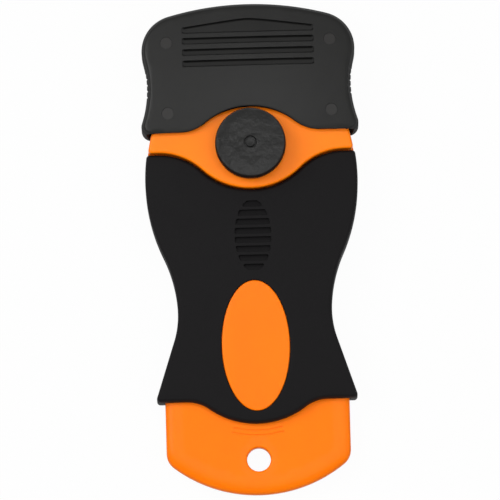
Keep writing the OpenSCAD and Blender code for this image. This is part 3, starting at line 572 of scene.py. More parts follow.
# %% Build the guard
TOP_ROUND, TOP_DROP, FOOT_ROUND, LIP_ROUND, GUARD_WALL = 1.5, 3.6, 0.6, 0.5, 1.3
ARCH_DEEP, ARCH_MID_R, ARCH_SIDE_R = 7.95, 23.4, 13.0
WALL_SHARES, TEETH_FROM = (0.15, 0.3, 0.45, 0.6, 0.7, 0.74, 0.87), 0.72
REAR_CORNER_Z, LIP_HALF, LIP_FADE_X, FLOOR_HALF, FLOOR_GAP = 17.2, 31.6, 33.0, 32.4, 0.15


def guard_piece():
    """Rings up the wall, a sheet for the top and one for the floor, open at the rear. The teeth
    stand only in the upper part of the wall. Below them it is sunk by the depth of a groove."""
    rows = [lifted(guard_path(i, FOOT_ROUND / 2, 0, 1 - i / FOOT_ROUND), d)
            for i, d in quarter(FOOT_ROUND, FOOT_ROUND)[::-1]]
    for share in WALL_SHARES:
        rear_z = FOOT_ROUND + share * (REAR_CORNER_Z - TOP_DROP - FOOT_ROUND)
        path = guard_path(0, rear_z, 1, float(share < TEETH_FROM))
        rows.append(lifted(path, lambda x, y: FOOT_ROUND
                           + share * (guard_dome(x, y) - TOP_DROP - FOOT_ROUND)))
    for i, drop in quarter(TOP_ROUND, TOP_DROP, 9):
        path = guard_path(i, REAR_CORNER_Z - drop, 1 - i / TOP_ROUND)
        rows.append(lifted(path, lambda x, y: guard_dome(x, y) - drop))
    top_edge = rows[-1][:, :2]
    half = bulge(0, ARCH_DEEP, ARCH_MID_R, ARCH_SIDE_R, 1)
    half = chain(half, np.stack([np.linspace(half[-1, 0], LIP_HALF, 14), np.zeros(14)], 1))
    half[:, 1] += rear_at(guard_dome(half[:, 0], half[:, 1] + guard_rear_y))
    lip = chain(mirrored(half), half)
    outline = chain(top_edge, lip)
    support = [(moved_in(lip[6:-6], d, False), False) for d in (0.12, 0.28, LIP_ROUND)]
    lines = support + [line for loop, _ in ramps for line in step_lines(loop)]
    lines += [line for loop in marks + grooves + outlines for line in step_lines(loop)]

    def height(x, y):
        gap = away(np.stack([x, y], 1), lip, False)
        side = np.clip((LIP_FADE_X - np.abs(x)) / 2, 0, 1)
        return guard_top(x, y) - rolled(gap, LIP_ROUND) * side

    foot_edge = rows[0][:, :2]
    rear = np.stack([np.linspace(-FLOOR_HALF, FLOOR_HALF, 40),
                     np.full(40, guard_rear_y + FLOOR_GAP)], 1)
    floor = sheet(chain(foot_edge, rear), [], [], lambda x, y: 0 * x, 3, up=False)
    top = sheet(outline, [], lines, height, 0.9)
    return as_piece("guard_shell", [wall(rows, False), top, floor], "guard",
                    ["blade_guard"], GUARD_WALL)


guard_shell = guard_piece()
print("open edges:", open_edges(guard_shell))

# %% [markdown]
# ## The clamp cover
# The orange plate that presses the blade down. Behind the guard it shows as a crescent round the
# knob, with a soft edge against the grip. Its plan is one loop: an edge that bulges back behind
# the knob, sides that carry on the curve of the handle's head until they meet the nose, and the
# straight nose inside the guard. Its top is a very flat barrel that slopes down to the jaw.

# %% Build the clamp cover
YOKE_DEEP, YOKE_MID_R, YOKE_SIDE_R, YOKE_LONG = 12.3, 22.9, 21.4, 5.1
HEAD_R, HEAD_HALF, HEAD_BACK = 57.5, 34.55, 11.15
HANDLE_WAIST_R, HANDLE_WAIST_HALF, LOW_R = 46, 25.05, 28
GUARD_GAP, COVER_STEP = 0.3, 0.9
yoke_y = guard_rear_y - GUARD_GAP - YOKE_LONG
head_c = np.array([HEAD_HALF - HEAD_R, knob_y - HEAD_BACK])
COVER_INSET, NOSE_HALF, JAW_Y, SLOPE_Y, JAW_Z = 0.35, 31.05, 58.7, 46.2, 11.1
NOSE_Y, NOSE_LIFT, COVER_CORNER_R, COVER_ROUND, COVER_WALL = 49, 0.45, 0.95, 0.8, 1.9
SCREW_HOLE_R, SEAT_R, SEAT_DEEP, FOLD_HALF = 2.8, 7.15, 0.5, 0.15


def head_arc(inset, low_y, high_y, steps=12):
    """The side of the handle's head between two heights along Y, moved in."""
    radius = HEAD_R - inset
    a = [math.degrees(math.asin((y - head_c[1]) / radius)) for y in (high_y, low_y)]
    return arc(head_c, radius, *a, steps)


def cover_top(x, y):
    """A barrel of radius 400 along Y, cut by the plane that slopes down to the jaw."""
    barrel = cover_z - DOME_R + np.sqrt(DOME_R ** 2 - x ** 2)
    slope = cover_z - (y - SLOPE_Y) * (cover_z - JAW_Z) / (JAW_Y - SLOPE_Y)
    return np.minimum(barrel, slope)


def cover_piece():
    """Rings up the wall and over a rounded edge, then a sheet with the screw's hole. The head's
    arc runs on under the guard's rear corners until it meets the straight side of the nose."""
    yoke = bulge(yoke_y, YOKE_DEEP, YOKE_MID_R, YOKE_SIDE_R, -1)
    meet_y = head_c[1] + math.sqrt((HEAD_R - COVER_INSET) ** 2 - (NOSE_HALF - head_c[0]) ** 2)
    right = chain([[0, JAW_Y]], [[NOSE_HALF, JAW_Y]],
                  head_arc(COVER_INSET, yoke_y, meet_y, 10), yoke[::-1])
    plan = finer(rounded(both_sides(right), COVER_CORNER_R), COVER_STEP)
    foot = np.where(plan[:, 1] > NOSE_Y, part_z + NOSE_LIFT, part_z)
    rows = [lifted(plan, foot)]
    for i, drop in quarter(COVER_ROUND, COVER_ROUND):
        rows.append(lifted(moved_in(plan, i), lambda x, y: cover_top(x, y) - drop))
    centre = [0, knob_y]
    hole = arc(centre, SCREW_HOLE_R, 0, 360, 36)[:-1]
    seat = arc(centre, SEAT_R, 0, 360, 60)[:-1]
    fold = [(np.array([[-NOSE_HALF + 1.5, y], [NOSE_HALF - 1.5, y]]), False)
            for y in (SLOPE_Y - FOLD_HALF, SLOPE_Y + FOLD_HALF)]

    def height(x, y):
        recess = np.hypot(x, y - knob_y) < SEAT_R
        return cover_top(x, y) - SEAT_DEEP * recess

    top = sheet(rows[-1][:, :2], [hole], step_lines(seat) + fold, height, 1.6)
    return as_piece("cover_shell", [wall(rows), top], "cover",
                    ["clamp_cover"], COVER_WALL)


cover_shell = cover_piece()
print("open edges:", open_edges(cover_shell))

# %% [markdown]
# ## The handle's outline
# Both soft skins, both hard shells and their parting line share one outline: the head arc, a
# hollow waist of two arcs and a straight flank to the tip. The ends follow the two bulging
# edges. So one function draws it at any distance inwards.

# %% One outline for skins and shells
TAIL_SHOWN = 30.55
GRIP_END_Y = tail_y + TAIL_SHOWN
GRIP_BULGE, GRIP_MID_R, GRIP_SIDE_R = 7.55, 26.5, 12
TIP_HALF, YOKE_GAP = 33.05, 0.45
hollow_x = HANDLE_WAIST_HALF + HANDLE_WAIST_R
hollow_c = np.array([hollow_x, head_c[1] - math.sqrt((HEAD_R + HANDLE_WAIST_R) ** 2
                                                      - (hollow_x - head_c[0]) ** 2)])
low_c = np.array([HANDLE_WAIST_HALF + LOW_R, hollow_c[1]])
from_tip = low_c - [TIP_HALF, GRIP_END_Y]
flank = math.degrees(math.atan2(from_tip[1], from_tip[0])
                     - math.acos(LOW_R / math.hypot(*from_tip)))


def handle_side(inset, front, rear):
    """Right side of the handle between two places along Y, moved in."""
    a_hollow = math.degrees(math.atan2(hollow_c[1] - head_c[1], hollow_c[0] - head_c[0]))
    start = math.degrees(math.asin((front - head_c[1]) / (HEAD_R - inset)))
    low = arc(low_c, LOW_R + inset, 180, 180 + flank, 20)
    lean = math.radians(flank)
    run = (low[-1, 1] - rear) / math.cos(lean)
    end = low[-1] + run * np.array([math.sin(lean), -math.cos(lean)])
    return chain(arc(head_c, HEAD_R - inset, start, a_hollow, 60),
                 arc(hollow_c, HANDLE_WAIST_R + inset, 180 + a_hollow, 180, 24), low, end)


def handle_loop(inset=0.0, front_gap=YOKE_GAP, rear_gap=0.0):
    """Closed outline: the front edge follows the cover, the rear edge bulges over the tail."""
    front = bulge(yoke_y - front_gap, YOKE_DEEP, YOKE_MID_R, YOKE_SIDE_R, -1, 20)
    rear = bulge(GRIP_END_Y + rear_gap, GRIP_BULGE, GRIP_MID_R, GRIP_SIDE_R, -1, 20)
    side = handle_side(inset, front[-1, 1], rear[-1, 1])
    return both_sides(chain(front, side, rear[::-1]))


print("flank leans %.2f degrees" % flank)

# %% [markdown]
# ## The soft grip
# Soft black skin moulded over the upper shell: a very flat dome with a window for the orange
# oval pad, and an oval of thumb ribs. The ribs are the ridges left between hollows, each with
# a steep wall on its blade side. Its lower half wraps the back. The two halves meet in a
# fine groove.

# %% Heights of the grip's top
GRIP_DOME_R, CROWN_Z, CROWN_BEHIND = 450, 15.2, 38.5
crown_y = knob_y - CROWN_BEHIND
PAD_MARGIN, RIB_MARGIN, OVAL_GAP, PAD_A = 3.85, 3.25, 2.7, 11.15
RIB_A, RIB_B, RIB_COUNT, RIB_DEEP, RIB_STEP, RIB_SHARE = 5.95, 11.85, 8, 1.0, 0.25, 0.66
HOLLOW_START, HOLLOW_CLEAR, HOLLOW_R = 0.8, 0.15, 0.45
pad_low = GRIP_END_Y - GRIP_BULGE + PAD_MARGIN
pad_high = yoke_y - YOKE_DEEP - YOKE_GAP - RIB_MARGIN
PAD_B = (pad_high - pad_low - OVAL_GAP - 2 * RIB_B) / 2
pad_y = pad_low + PAD_B
rib_y = pad_high - RIB_B
rib_pitch = 2 * RIB_B / RIB_COUNT


def grip_dome(x, y):
    """A sphere of radius 450 whose top lies over the middle of the grip."""
    return CROWN_Z - GRIP_DOME_R + np.sqrt(GRIP_DOME_R ** 2 - x ** 2 - (y - crown_y) ** 2)


def oval(centre_y, a, b, count=120):
    """An ellipse round a place on the middle line."""
    t = np.linspace(0, 2 * math.pi, count, endpoint=False)
    return np.stack([a * np.cos(t), centre_y + b * np.sin(t)], 1)


def hollow(i):
    """The i-th hollow seen from above: a strip of the oval between two places along Y, with
    its four corners rounded."""
    low = rib_y + RIB_B - (i + HOLLOW_START) * rib_pitch
    y = np.linspace(max(low, rib_y - RIB_B + HOLLOW_CLEAR), low + RIB_SHARE * rib_pitch, 7)
    x = RIB_A * np.sqrt(np.clip(1 - ((y - rib_y) / RIB_B) ** 2, 0, 1))
    strip = np.concatenate([np.stack([x, y], 1), np.stack([-x, y], 1)[::-1]])
    return rounded(strip, HOLLOW_R, sharp=40, steps=4)


hollows = [hollow(i) for i in range(RIB_COUNT)]
print("pad at y %.2f, %.2f long; ribs at y %.2f" % (pad_y, 2 * PAD_B, rib_y))


def grip_surface(x, y):
    """The dome, less the hollows, which start with a small step and deepen towards the blade."""
    flat = np.stack([x, y], 1)
    z = grip_dome(x, y)
    for loop in hollows:
        depth = (y - loop[:, 1].min()) / (RIB_SHARE * rib_pitch)
        z = z - (RIB_STEP + (RIB_DEEP - RIB_STEP) * np.clip(depth, 0, 1)) * inside(flat, [loop])
    return z


# %% [markdown]
# ## Two skins that meet in a seam
# The skins are moulded over the shells one by one, and a fine groove shows where they meet. A
# groove cut into one closed skin would need a boolean. Two skins whose walls step in a little
# at the parting plane give it for nothing, and the back one is left open for the door's slot.

# %% Build the two soft skins
SKIN, SKIN_WALL, SEAM_DEEP, SEAM_HIGH, SEAM_EDGE = 1.6, 1.5, 0.18, 0.25, 0.03
GRIP_CORNER_R, SHOULDER_IN, SHOULDER_DROP, WINDOW_ROUND = 1.15, 1.1, 1.7, 0.4
BACK_ROUND, SLOT_HALF, SLOT_GAP = 0.9, 11.6, 0.3
TAIL_ROOM_HALF, TAIL_ROOM_Z, TAIL_ROOM_GAP = 30.2, 3.95, 1.3
SCREW_X, SCREW_R, SCREW_BEHIND, SCREW_FROM_END = 17.6, 3.1, 5.1, 15
grip_plan = finer(rounded(handle_loop(), GRIP_CORNER_R), 0.8)


def grip_top_piece():
    """Wall from the seam up, over a soft shoulder, then the domed top with its window."""
    rows = [lifted(moved_in(grip_plan, SEAM_DEEP), part_z),
            lifted(moved_in(grip_plan, SEAM_DEEP), part_z + SEAM_EDGE),
            lifted(grip_plan, part_z + SEAM_HIGH)]
    for i, drop in quarter(SHOULDER_IN, SHOULDER_DROP, 8):
        rows.append(lifted(moved_in(grip_plan, i), lambda x, y: grip_dome(x, y) - drop))
    window = oval(pad_y, PAD_A, PAD_B)[::-1]
    support = [(moved_in(window, d), True) for d in (0.06, 0.16, 0.28, WINDOW_ROUND)]
    lines = support + [line for loop in hollows for line in step_lines(loop)]

    def height(x, y):
        gap = away(np.stack([x, y], 1), window)
        return grip_surface(x, y) - rolled(gap, WINDOW_ROUND)

    top = sheet(rows[-1][:, :2], [window], lines, height, 1.0)
    return as_piece("grip_upper", [wall(rows), top], "handle",
                    ["grip_top"], SKIN_WALL)


def grip_bottom_piece():
    """Floor with the door's slot and the screw holes, then a wall whose top drops under the
    tail. The loop is open where the slot runs out at the rear."""
    slot_front = span("storage_door")[1][1] + SLOT_GAP
    rear = (grip_plan[:, 1] < GRIP_END_Y - 2) & (np.abs(grip_plan[:, 0]) < SLOT_HALF)
    first = np.nonzero(rear & ~np.roll(rear, -1))[0][0]
    path = np.roll(grip_plan, -first - 1, 0)[:np.count_nonzero(~rear)]
    under_tail = (path[:, 1] < GRIP_END_Y + TAIL_ROOM_GAP) & (np.abs(path[:, 0]) < TAIL_ROOM_HALF)
    top = np.where(under_tail, TAIL_ROOM_Z, part_z)
    rows = [lifted(moved_in(path, i, False), d) for i, d in quarter(BACK_ROUND, BACK_ROUND)[::-1]]
    rows.append(lifted(path, np.minimum(top, part_z - SEAM_HIGH)))
    groove = moved_in(path, np.where(under_tail, 0, SEAM_DEEP), False)
    rows.append(lifted(groove, top - np.where(under_tail, 0, SEAM_EDGE)))
    rows.append(lifted(groove, top))
    edge = rows[0][:, :2]
    way = np.array([[-SLOT_HALF, edge[-1, 1]], [-SLOT_HALF, slot_front],
                    [SLOT_HALF, slot_front], [SLOT_HALF, edge[0, 1]]])
    holes = [arc([x, y], SCREW_R, 360, 0, 32)[:-1] for x in (-SCREW_X, SCREW_X)
             for y in (slot_front - SCREW_BEHIND, GRIP_END_Y + SCREW_FROM_END)]
    floor = sheet(chain(edge, finer(way, 1, False)), holes, [], lambda x, y: 0 * x, 2.5, up=False)
    return as_piece("grip_lower", [wall(rows, False), floor], "handle",
                    ["grip_bottom"], SKIN_WALL)


grip_upper = grip_top_piece()
grip_lower = grip_bottom_piece()
print("open edges:", open_edges(grip_upper), open_edges(grip_lower))

# %% [markdown]
# ## The hard shells
# The upper shell carries the orange pad that fills the grip's window. A separate oval lid would
# need its own gap and its own join, so the shell is a sheet with a raised oval, rounded at its
# rim.

# %% Build the upper shell with its pad
PAD_GAP, PAD_ROUND, SHELL_GAP, SHELL_WALL = 0.12, 0.35, 0.1, 1.8


def top_shell_piece():
    """The dome sunk by the skin's thickness, with the pad raised to the grip's own dome and
    rounded at its edge."""
    plan = finer(handle_loop(SKIN, YOKE_GAP + SHELL_GAP, SKIN), 1.2)
    pad = oval(pad_y, PAD_A - PAD_GAP, PAD_B - PAD_GAP)
    support = [(moved_in(pad, d), True) for d in (0.08, 0.18, PAD_ROUND)]

    def height(x, y):
        flat = np.stack([x, y], 1)
        raised = grip_dome(x, y) - rolled(away(flat, pad), PAD_ROUND)
        return np.where(inside(flat, [pad]), raised, grip_dome(x, y) - SKIN)

    rows = [lifted(plan, part_z), lifted(plan, lambda x, y: grip_dome(x, y) - SKIN)]
    top = sheet(rows[-1][:, :2], [], step_lines(pad) + support, height, 1.4)
    return as_piece("shell_upper", [wall(rows), top], "handle",
                    ["top_shell"], SHELL_WALL)


shell_upper = top_shell_piece()

# %% [markdown]
# ## The tail
# The orange end with the hanging hole is a part of the lower shell. It is thick and rolled over
# at its end, where it catches the light, and two fine arcs follow the grip's edge. One bevel
# width won't do, because the roll widens towards the end, so each ring has its own width at
# each point.

# %% Build the tail
TAIL_HALF, TAIL_CORNER_R, TAIL_END_R, TAIL_THICK, TAIL_ROOT = 29.95, 6, 45, 4.4, 2.6
ROLL_WIDE, ROLL_HIGH, ROLL_MORE_WIDE, ROLL_MORE_HIGH, UNDER_ROUND = 3.0, 1.8, 1.5, 0.5, 0.6
EASE_AHEAD, EASE_LONG, ROOT_LONG = 3, 7, 0.5
HOLE_R, HOLE_ROUND, HOLE_UNDER_ROUND = 3.85, 0.8, 0.35
ARC_OUTS, ARC_DEEP, ARC_HALF, ARC_TURN = (2.2, 3.75), 0.35, 0.25, 16
hanging = [m for m in frame["record"]["mounts"] if m["name"] == "hanging_hole"][0]
hole_y = hanging["pos_m"][1] / MM
tail_z = part_z - TAIL_THICK


def tail_piece():
    """Rings round the tail: a small edge below, a wall, and an edge above that is 3 mm wide at
    the sides and widens to 4.5 mm round the end. The hole has its own rings."""
    x = TAIL_HALF - TAIL_CORNER_R
    drop = math.sqrt((TAIL_END_R - TAIL_CORNER_R) ** 2 - x * x)
    corner = np.array([x, tail_y + TAIL_END_R - drop])
    a = math.degrees(math.atan2(corner[1] - tail_y - TAIL_END_R, x))
    root_y = GRIP_END_Y + TAIL_ROOT
    right = chain([[0, root_y]], [[TAIL_HALF, root_y]], arc(corner, TAIL_CORNER_R, 0, a, 24),
                  arc([0, tail_y + TAIL_END_R], TAIL_END_R, a, -90, 40))
    loop = finer(both_sides(right), 1.0)
    ease = np.clip((corner[1] + EASE_AHEAD - loop[:, 1]) / EASE_LONG, 0, 1)
    ease = ease * ease * (3 - 2 * ease)
    root = np.clip((root_y - loop[:, 1]) / ROOT_LONG, 0, 1)
    width = (ROLL_WIDE + ROLL_MORE_WIDE * ease) * root
    high = (ROLL_HIGH + ROLL_MORE_HIGH * ease) * root
    under = UNDER_ROUND * root
    rows = [lifted(moved_in(loop, under * (1 - math.sin(t))), tail_z + under * (1 - math.cos(t)))
            for t in np.linspace(0, math.pi / 2, 4)]
    for t in np.linspace(0, math.pi / 2, 12):
        rows.append(lifted(moved_in(loop, width * (1 - math.cos(t))),
                           part_z - high * (1 - math.sin(t))))
    hole = arc([0, hole_y], HOLE_R, 360, 0, 64)[:-1]
    rim = [lifted(moved_in(hole, drop), tail_z + i)
           for i, drop in quarter(HOLE_UNDER_ROUND, HOLE_UNDER_ROUND, 3)]
    rim += [lifted(moved_in(hole, i), part_z - drop)
            for i, drop in quarter(HOLE_ROUND, HOLE_ROUND)]
    bulge_y = GRIP_END_Y - GRIP_BULGE + GRIP_MID_R

    def height(x, y):
        out = np.hypot(x, y - bulge_y) - GRIP_MID_R
        turn = np.degrees(np.abs(np.arctan2(x, bulge_y - y)))
        near = np.min([np.abs(out - line) for line in ARC_OUTS], 0)
        return part_z - ARC_DEEP * ((near < ARC_HALF) & (turn < ARC_TURN))

    fine = []
    first, last = -90 - ARC_TURN, -90 + ARC_TURN
    for out in ARC_OUTS:
        r = GRIP_MID_R + out
        groove = chain(arc([0, bulge_y], r + ARC_HALF, first, last, 40),
                       arc([0, bulge_y], r - ARC_HALF, last, first, 40))
        fine += [(moved_in(groove, STEEP), True), (moved_in(groove, -STEEP), True)]
    top = sheet(rows[-1][:, :2], [rim[-1][:, :2]], fine, height, 2)
    floor = sheet(rows[0][:, :2], [rim[0][:, :2]], [], lambda x, y: 0 * x + tail_z, 3, up=False)
    return as_piece("shell_tail", [wall(rows), wall(rim), top, floor], "handle")


shell_tail = tail_piece()
print("open edges:", open_edges(shell_tail))

# %% [markdown]
# ## The hidden rest of the lower shell
# The lower shell is mostly out of sight, so its solid stays, cut where the new tail takes over.
# Moving the solid's own points was no choice, since those are few and far apart. A boolean with
# a block that follows the grip's wave cuts it cleanly.

# %% Cut the lower shell's solid where the tail leaves it, and keep the rest
CUT_GAP, FAR_OUT, FAR_BEHIND, CUT_BELOW, CUT_ABOVE = 0.9, 60, 20, 5.0, 12


def merged_copy(name, node):
    """A copy of a solid's mesh with its loose triangles joined at their corners."""
    mesh = nodes[node].data.copy()
    mesh.name = name
    mesh.materials.clear()
    merge_points(mesh, 1e-6)
    return new_object(name, mesh)


def bottom_shell_piece():
    """The solid, less all that lies behind a line just inside the shell's rear wall."""
    shell = merged_copy("shell_lower", "bottom_shell")
    rear = bulge(GRIP_END_Y + SKIN + CUT_GAP, GRIP_BULGE, GRIP_MID_R, GRIP_SIDE_R, -1)
    far = np.array([[FAR_OUT, rear[-1, 1]], [FAR_OUT, tail_y - FAR_BEHIND]])
    loop = chain(rear, far, mirrored(far), mirrored(rear))[:-1][::-1]
    levels = [lifted(loop, -CUT_BELOW), lifted(loop, part_z + CUT_ABOVE)]
    side = wall(levels)
    caps = [(levels[k], np.arange(len(loop))[None, ::(1 if k else -1)]) for k in (0, 1)]
    cutter = bpy.data.meshes.new("cutter")
    points = np.concatenate([side[0]] + [c[0] for c in caps]) * MM
    faces = side[1].tolist()
    for k, (_, f) in enumerate(caps):
        faces += (f + len(side[0]) + k * len(loop)).tolist()
    cutter.from_pydata(points.tolist(), [], faces)
    merge_points(cutter, 1e-7,
                 lambda work: bmesh.ops.recalc_face_normals(work, faces=work.faces))
    block = new_object("cutter", cutter)
    cut = shell.modifiers.new("cut", "BOOLEAN")
    cut.operation = "DIFFERENCE"
    cut.object = block
    finished(shell, "handle", ["bottom_shell"])
    bpy.data.objects.remove(block)
    return shell


shell_lower = bottom_shell_piece()
low = np.array([v.co for v in shell_lower.data.vertices]).min(0)
print("lower shell now starts at y = %.1f mm" % (low[1] / MM))

# %% [markdown]
# ## The knob
# A round black knob with 120 fine teeth, one revolved profile. The teeth are added to the
# radius as a wave that fades out over the chamfer, so a single grid holds flank, rim, dished face
# and the fine ring in the middle. Under the face the profile goes on inside the skirt to the hub.

# %% Build the knob
KNOB_R, TEETH, TOOTH_DEEP = 11.5, 120, 0.42
HUB_R, BORE_R, SKIRT_T, SKIRT_DEEP = 4.9, 2.55, 1.9, 3.4
# The flank as (distance in from the radius, height above the foot or below the face, tooth
# share), then the face as (radius, depth), with the fine ring between 2.08 and 1.42.
LOWER_FLANK = [(0.35, 0.3, 0.4), (0.05, 0.7, 1), (0, 1.2, 1)]
UPPER_FLANK = [(0, 1.9, 1), (0.08, 1.0, 1), (0.2, 0.4, 0.8), (0.27, 0.22, 0.6), (0.38, 0.07, 0.3),
               (0.55, 0, 0), (0.9, 0.01, 0), (1.5, 0.07, 0), (2.3, 0.15, 0)]
DISH = [(7.6, 0.2), (6.2, 0.22), (4.8, 0.21), (3.4, 0.2), (2.4, 0.2), (2.08, 0.22), (2.0, 0.36),
        (1.96, 1.3), (1.54, 1.3), (1.5, 0.36), (1.42, 0.24), (0.8, 0.22), (0.0, 0.22)]


def knob_piece():
    """Rows of (radius, height, share of tooth depth), turned round the knob's axis. The wave is
    a rounded triangle: its share is 1 in the valleys and 0 on the ridges."""
    low, rim_z, inner = knob_low_z, knob_low_z + 0.2, KNOB_R - SKIRT_T
    under = [(0, low + 0.6), (BORE_R, low + 0.6), (BORE_R, low), (HUB_R - 0.2, low),
             (HUB_R, rim_z), (HUB_R, rim_z + SKIRT_DEEP), (inner, rim_z + SKIRT_DEEP),
             (inner, low + 0.45), (inner + 0.2, rim_z), (KNOB_R - 0.55, rim_z)]
    profile = [(r, z, 0) for r, z in under]
    profile += [(KNOB_R - i, low + up, share) for i, up, share in LOWER_FLANK]
    profile += [(KNOB_R - i, knob_top_z - down, share) for i, down, share in UPPER_FLANK]
    profile += [(r, knob_top_z - down, 0) for r, down in DISH]
    radius, z, share = np.array(profile).T
    turn = np.linspace(0, 2 * math.pi, 6 * TEETH, endpoint=False)
    wave = np.abs((turn * TEETH / (2 * math.pi)) % 1 - 0.5) * 2
    wave = 0.5 - 0.5 * np.cos(math.pi * wave)
    r = radius[:, None] - TOOTH_DEEP * share[:, None] * wave[None]
    heights = np.broadcast_to(z[:, None], r.shape)
    rows = np.stack([r * np.cos(turn), knob_y + r * np.sin(turn), heights], -1)
    return as_piece("knob", [wall(rows)], "knob", ["clamp_knob"])


knob = knob_piece()

# %% [markdown]
# ## Metal parts and the door
# The screw, insert, washer, stop ring, case screws and sliding door are true solids already, so
# nothing is gained by drawing them again. A copy of each gets joined corners, a small bevel and
# smooth shading, because an edge without a bevel never catches the light.

# %% Copies with small bevels


def dressed_copy(name, node, body, bevel):
    """A merged copy of a solid with its edges bevelled by a fraction of a millimetre."""
    copy = merged_copy(name, node)
    edge = copy.modifiers.new("edges", "BEVEL")
    edge.width = bevel * MM
    edge.segments = 2
    edge.limit_method = "ANGLE"
    edge.angle_limit = SHARP
    return finished(copy, body, [node])


screw = dressed_copy("clamp_screw", "knob_screw", "knob", 0.12)
stop = dressed_copy("screw_stop", "stop_ring", "knob", 0.08)
insert = dressed_copy("brass_insert", "threaded_insert", "handle", 0.12)
washer = dressed_copy("washer", "thrust_washer", "cover", 0.08)
case = dressed_copy("shell_screws", "case_screws", "handle", 0.08)
door = dressed_copy("blade_door", "storage_door", "door", 0.15)

# %% [markdown]
# ## The lift spring
# A short coil of round spring wire lifts the cover when the knob is loosened. A curve with a
# round bevel would do, but the wire's section is worked out here as one grid, whose last rows
# shrink to close the ends.

# %% Wind the lift spring
WIRE_R, COILS = 0.35, 2.75


def spring_piece():
    """A circle of wire carried along a helix: the wire's axes are the helix's outward direction
    and the cross product of that with its own direction."""
    low, high = span("lift_spring")
    radius = (high[0] - low[0]) / 2 - WIRE_R
    t = np.linspace(0, 2 * math.pi * COILS, 110)
    z = np.linspace(low[2] + WIRE_R, high[2] - WIRE_R, len(t))
    middle = np.stack([radius * np.cos(t), knob_y + radius * np.sin(t), z], 1)
    along = np.gradient(middle, axis=0)
    along /= np.linalg.norm(along, axis=1, keepdims=True)
    out = np.stack([np.cos(t), np.sin(t), 0 * t], 1)
    up = np.cross(along, out)
    a = np.linspace(0, 2 * math.pi, 14, endpoint=False)
    around = np.cos(a)[None, :, None] * out[:, None] + np.sin(a)[None, :, None] * up[:, None]
    size = np.r_[0.001, 0.8, np.ones(len(t) - 4), 0.8, 0.001][:, None, None]
    rows = middle[:, None] + WIRE_R * size * around
    return as_piece("spring_coil", [wall(rows)], "handle", ["lift_spring"])


spring_coil = spring_piece()
print("open edges: knob", open_edges(knob), "spring", open_edges(spring_coil))

# %% [markdown]
# ## Shader maths as expressions
# A finish is mostly small sums: a noise stretched, thresholded and added to a roughness. With a
# little class round a socket those sums are written as ordinary Python, and each adds its own
# Math node. One method adds every other kind of node.

# %% A finish and the values in it


class Value:
    """A number that changes over the surface. Sums of values add Math nodes."""

    def __init__(self, finish, socket):
        self.finish = finish
        self.socket = socket

    def maths(self, operation, *operands):
        sockets = dict(enumerate(operands))
        node = self.finish.node("ShaderNodeMath", {"operation": operation}, sockets)
        return Value(self.finish, node.outputs[0])

    def __add__(self, other):
        return self.maths("ADD", self, other)

    def __radd__(self, other):
        return self.maths("ADD", other, self)

    def __sub__(self, other):
        return self.maths("SUBTRACT", self, other)

    def __rsub__(self, other):
        return self.maths("SUBTRACT", other, self)

    def __mul__(self, other):
        return self.maths("MULTIPLY", self, other)

    def __rmul__(self, other):
        return self.maths("MULTIPLY", other, self)

    def over(self, low, high):
        """0 below low, 1 above high and a smooth rise between."""
        node = self.finish.node("ShaderNodeMapRange", {"interpolation_type": "SMOOTHSTEP"},
                                {"Value": self, "From Min": low, "From Max": high})
        return Value(self.finish, node.outputs[0])


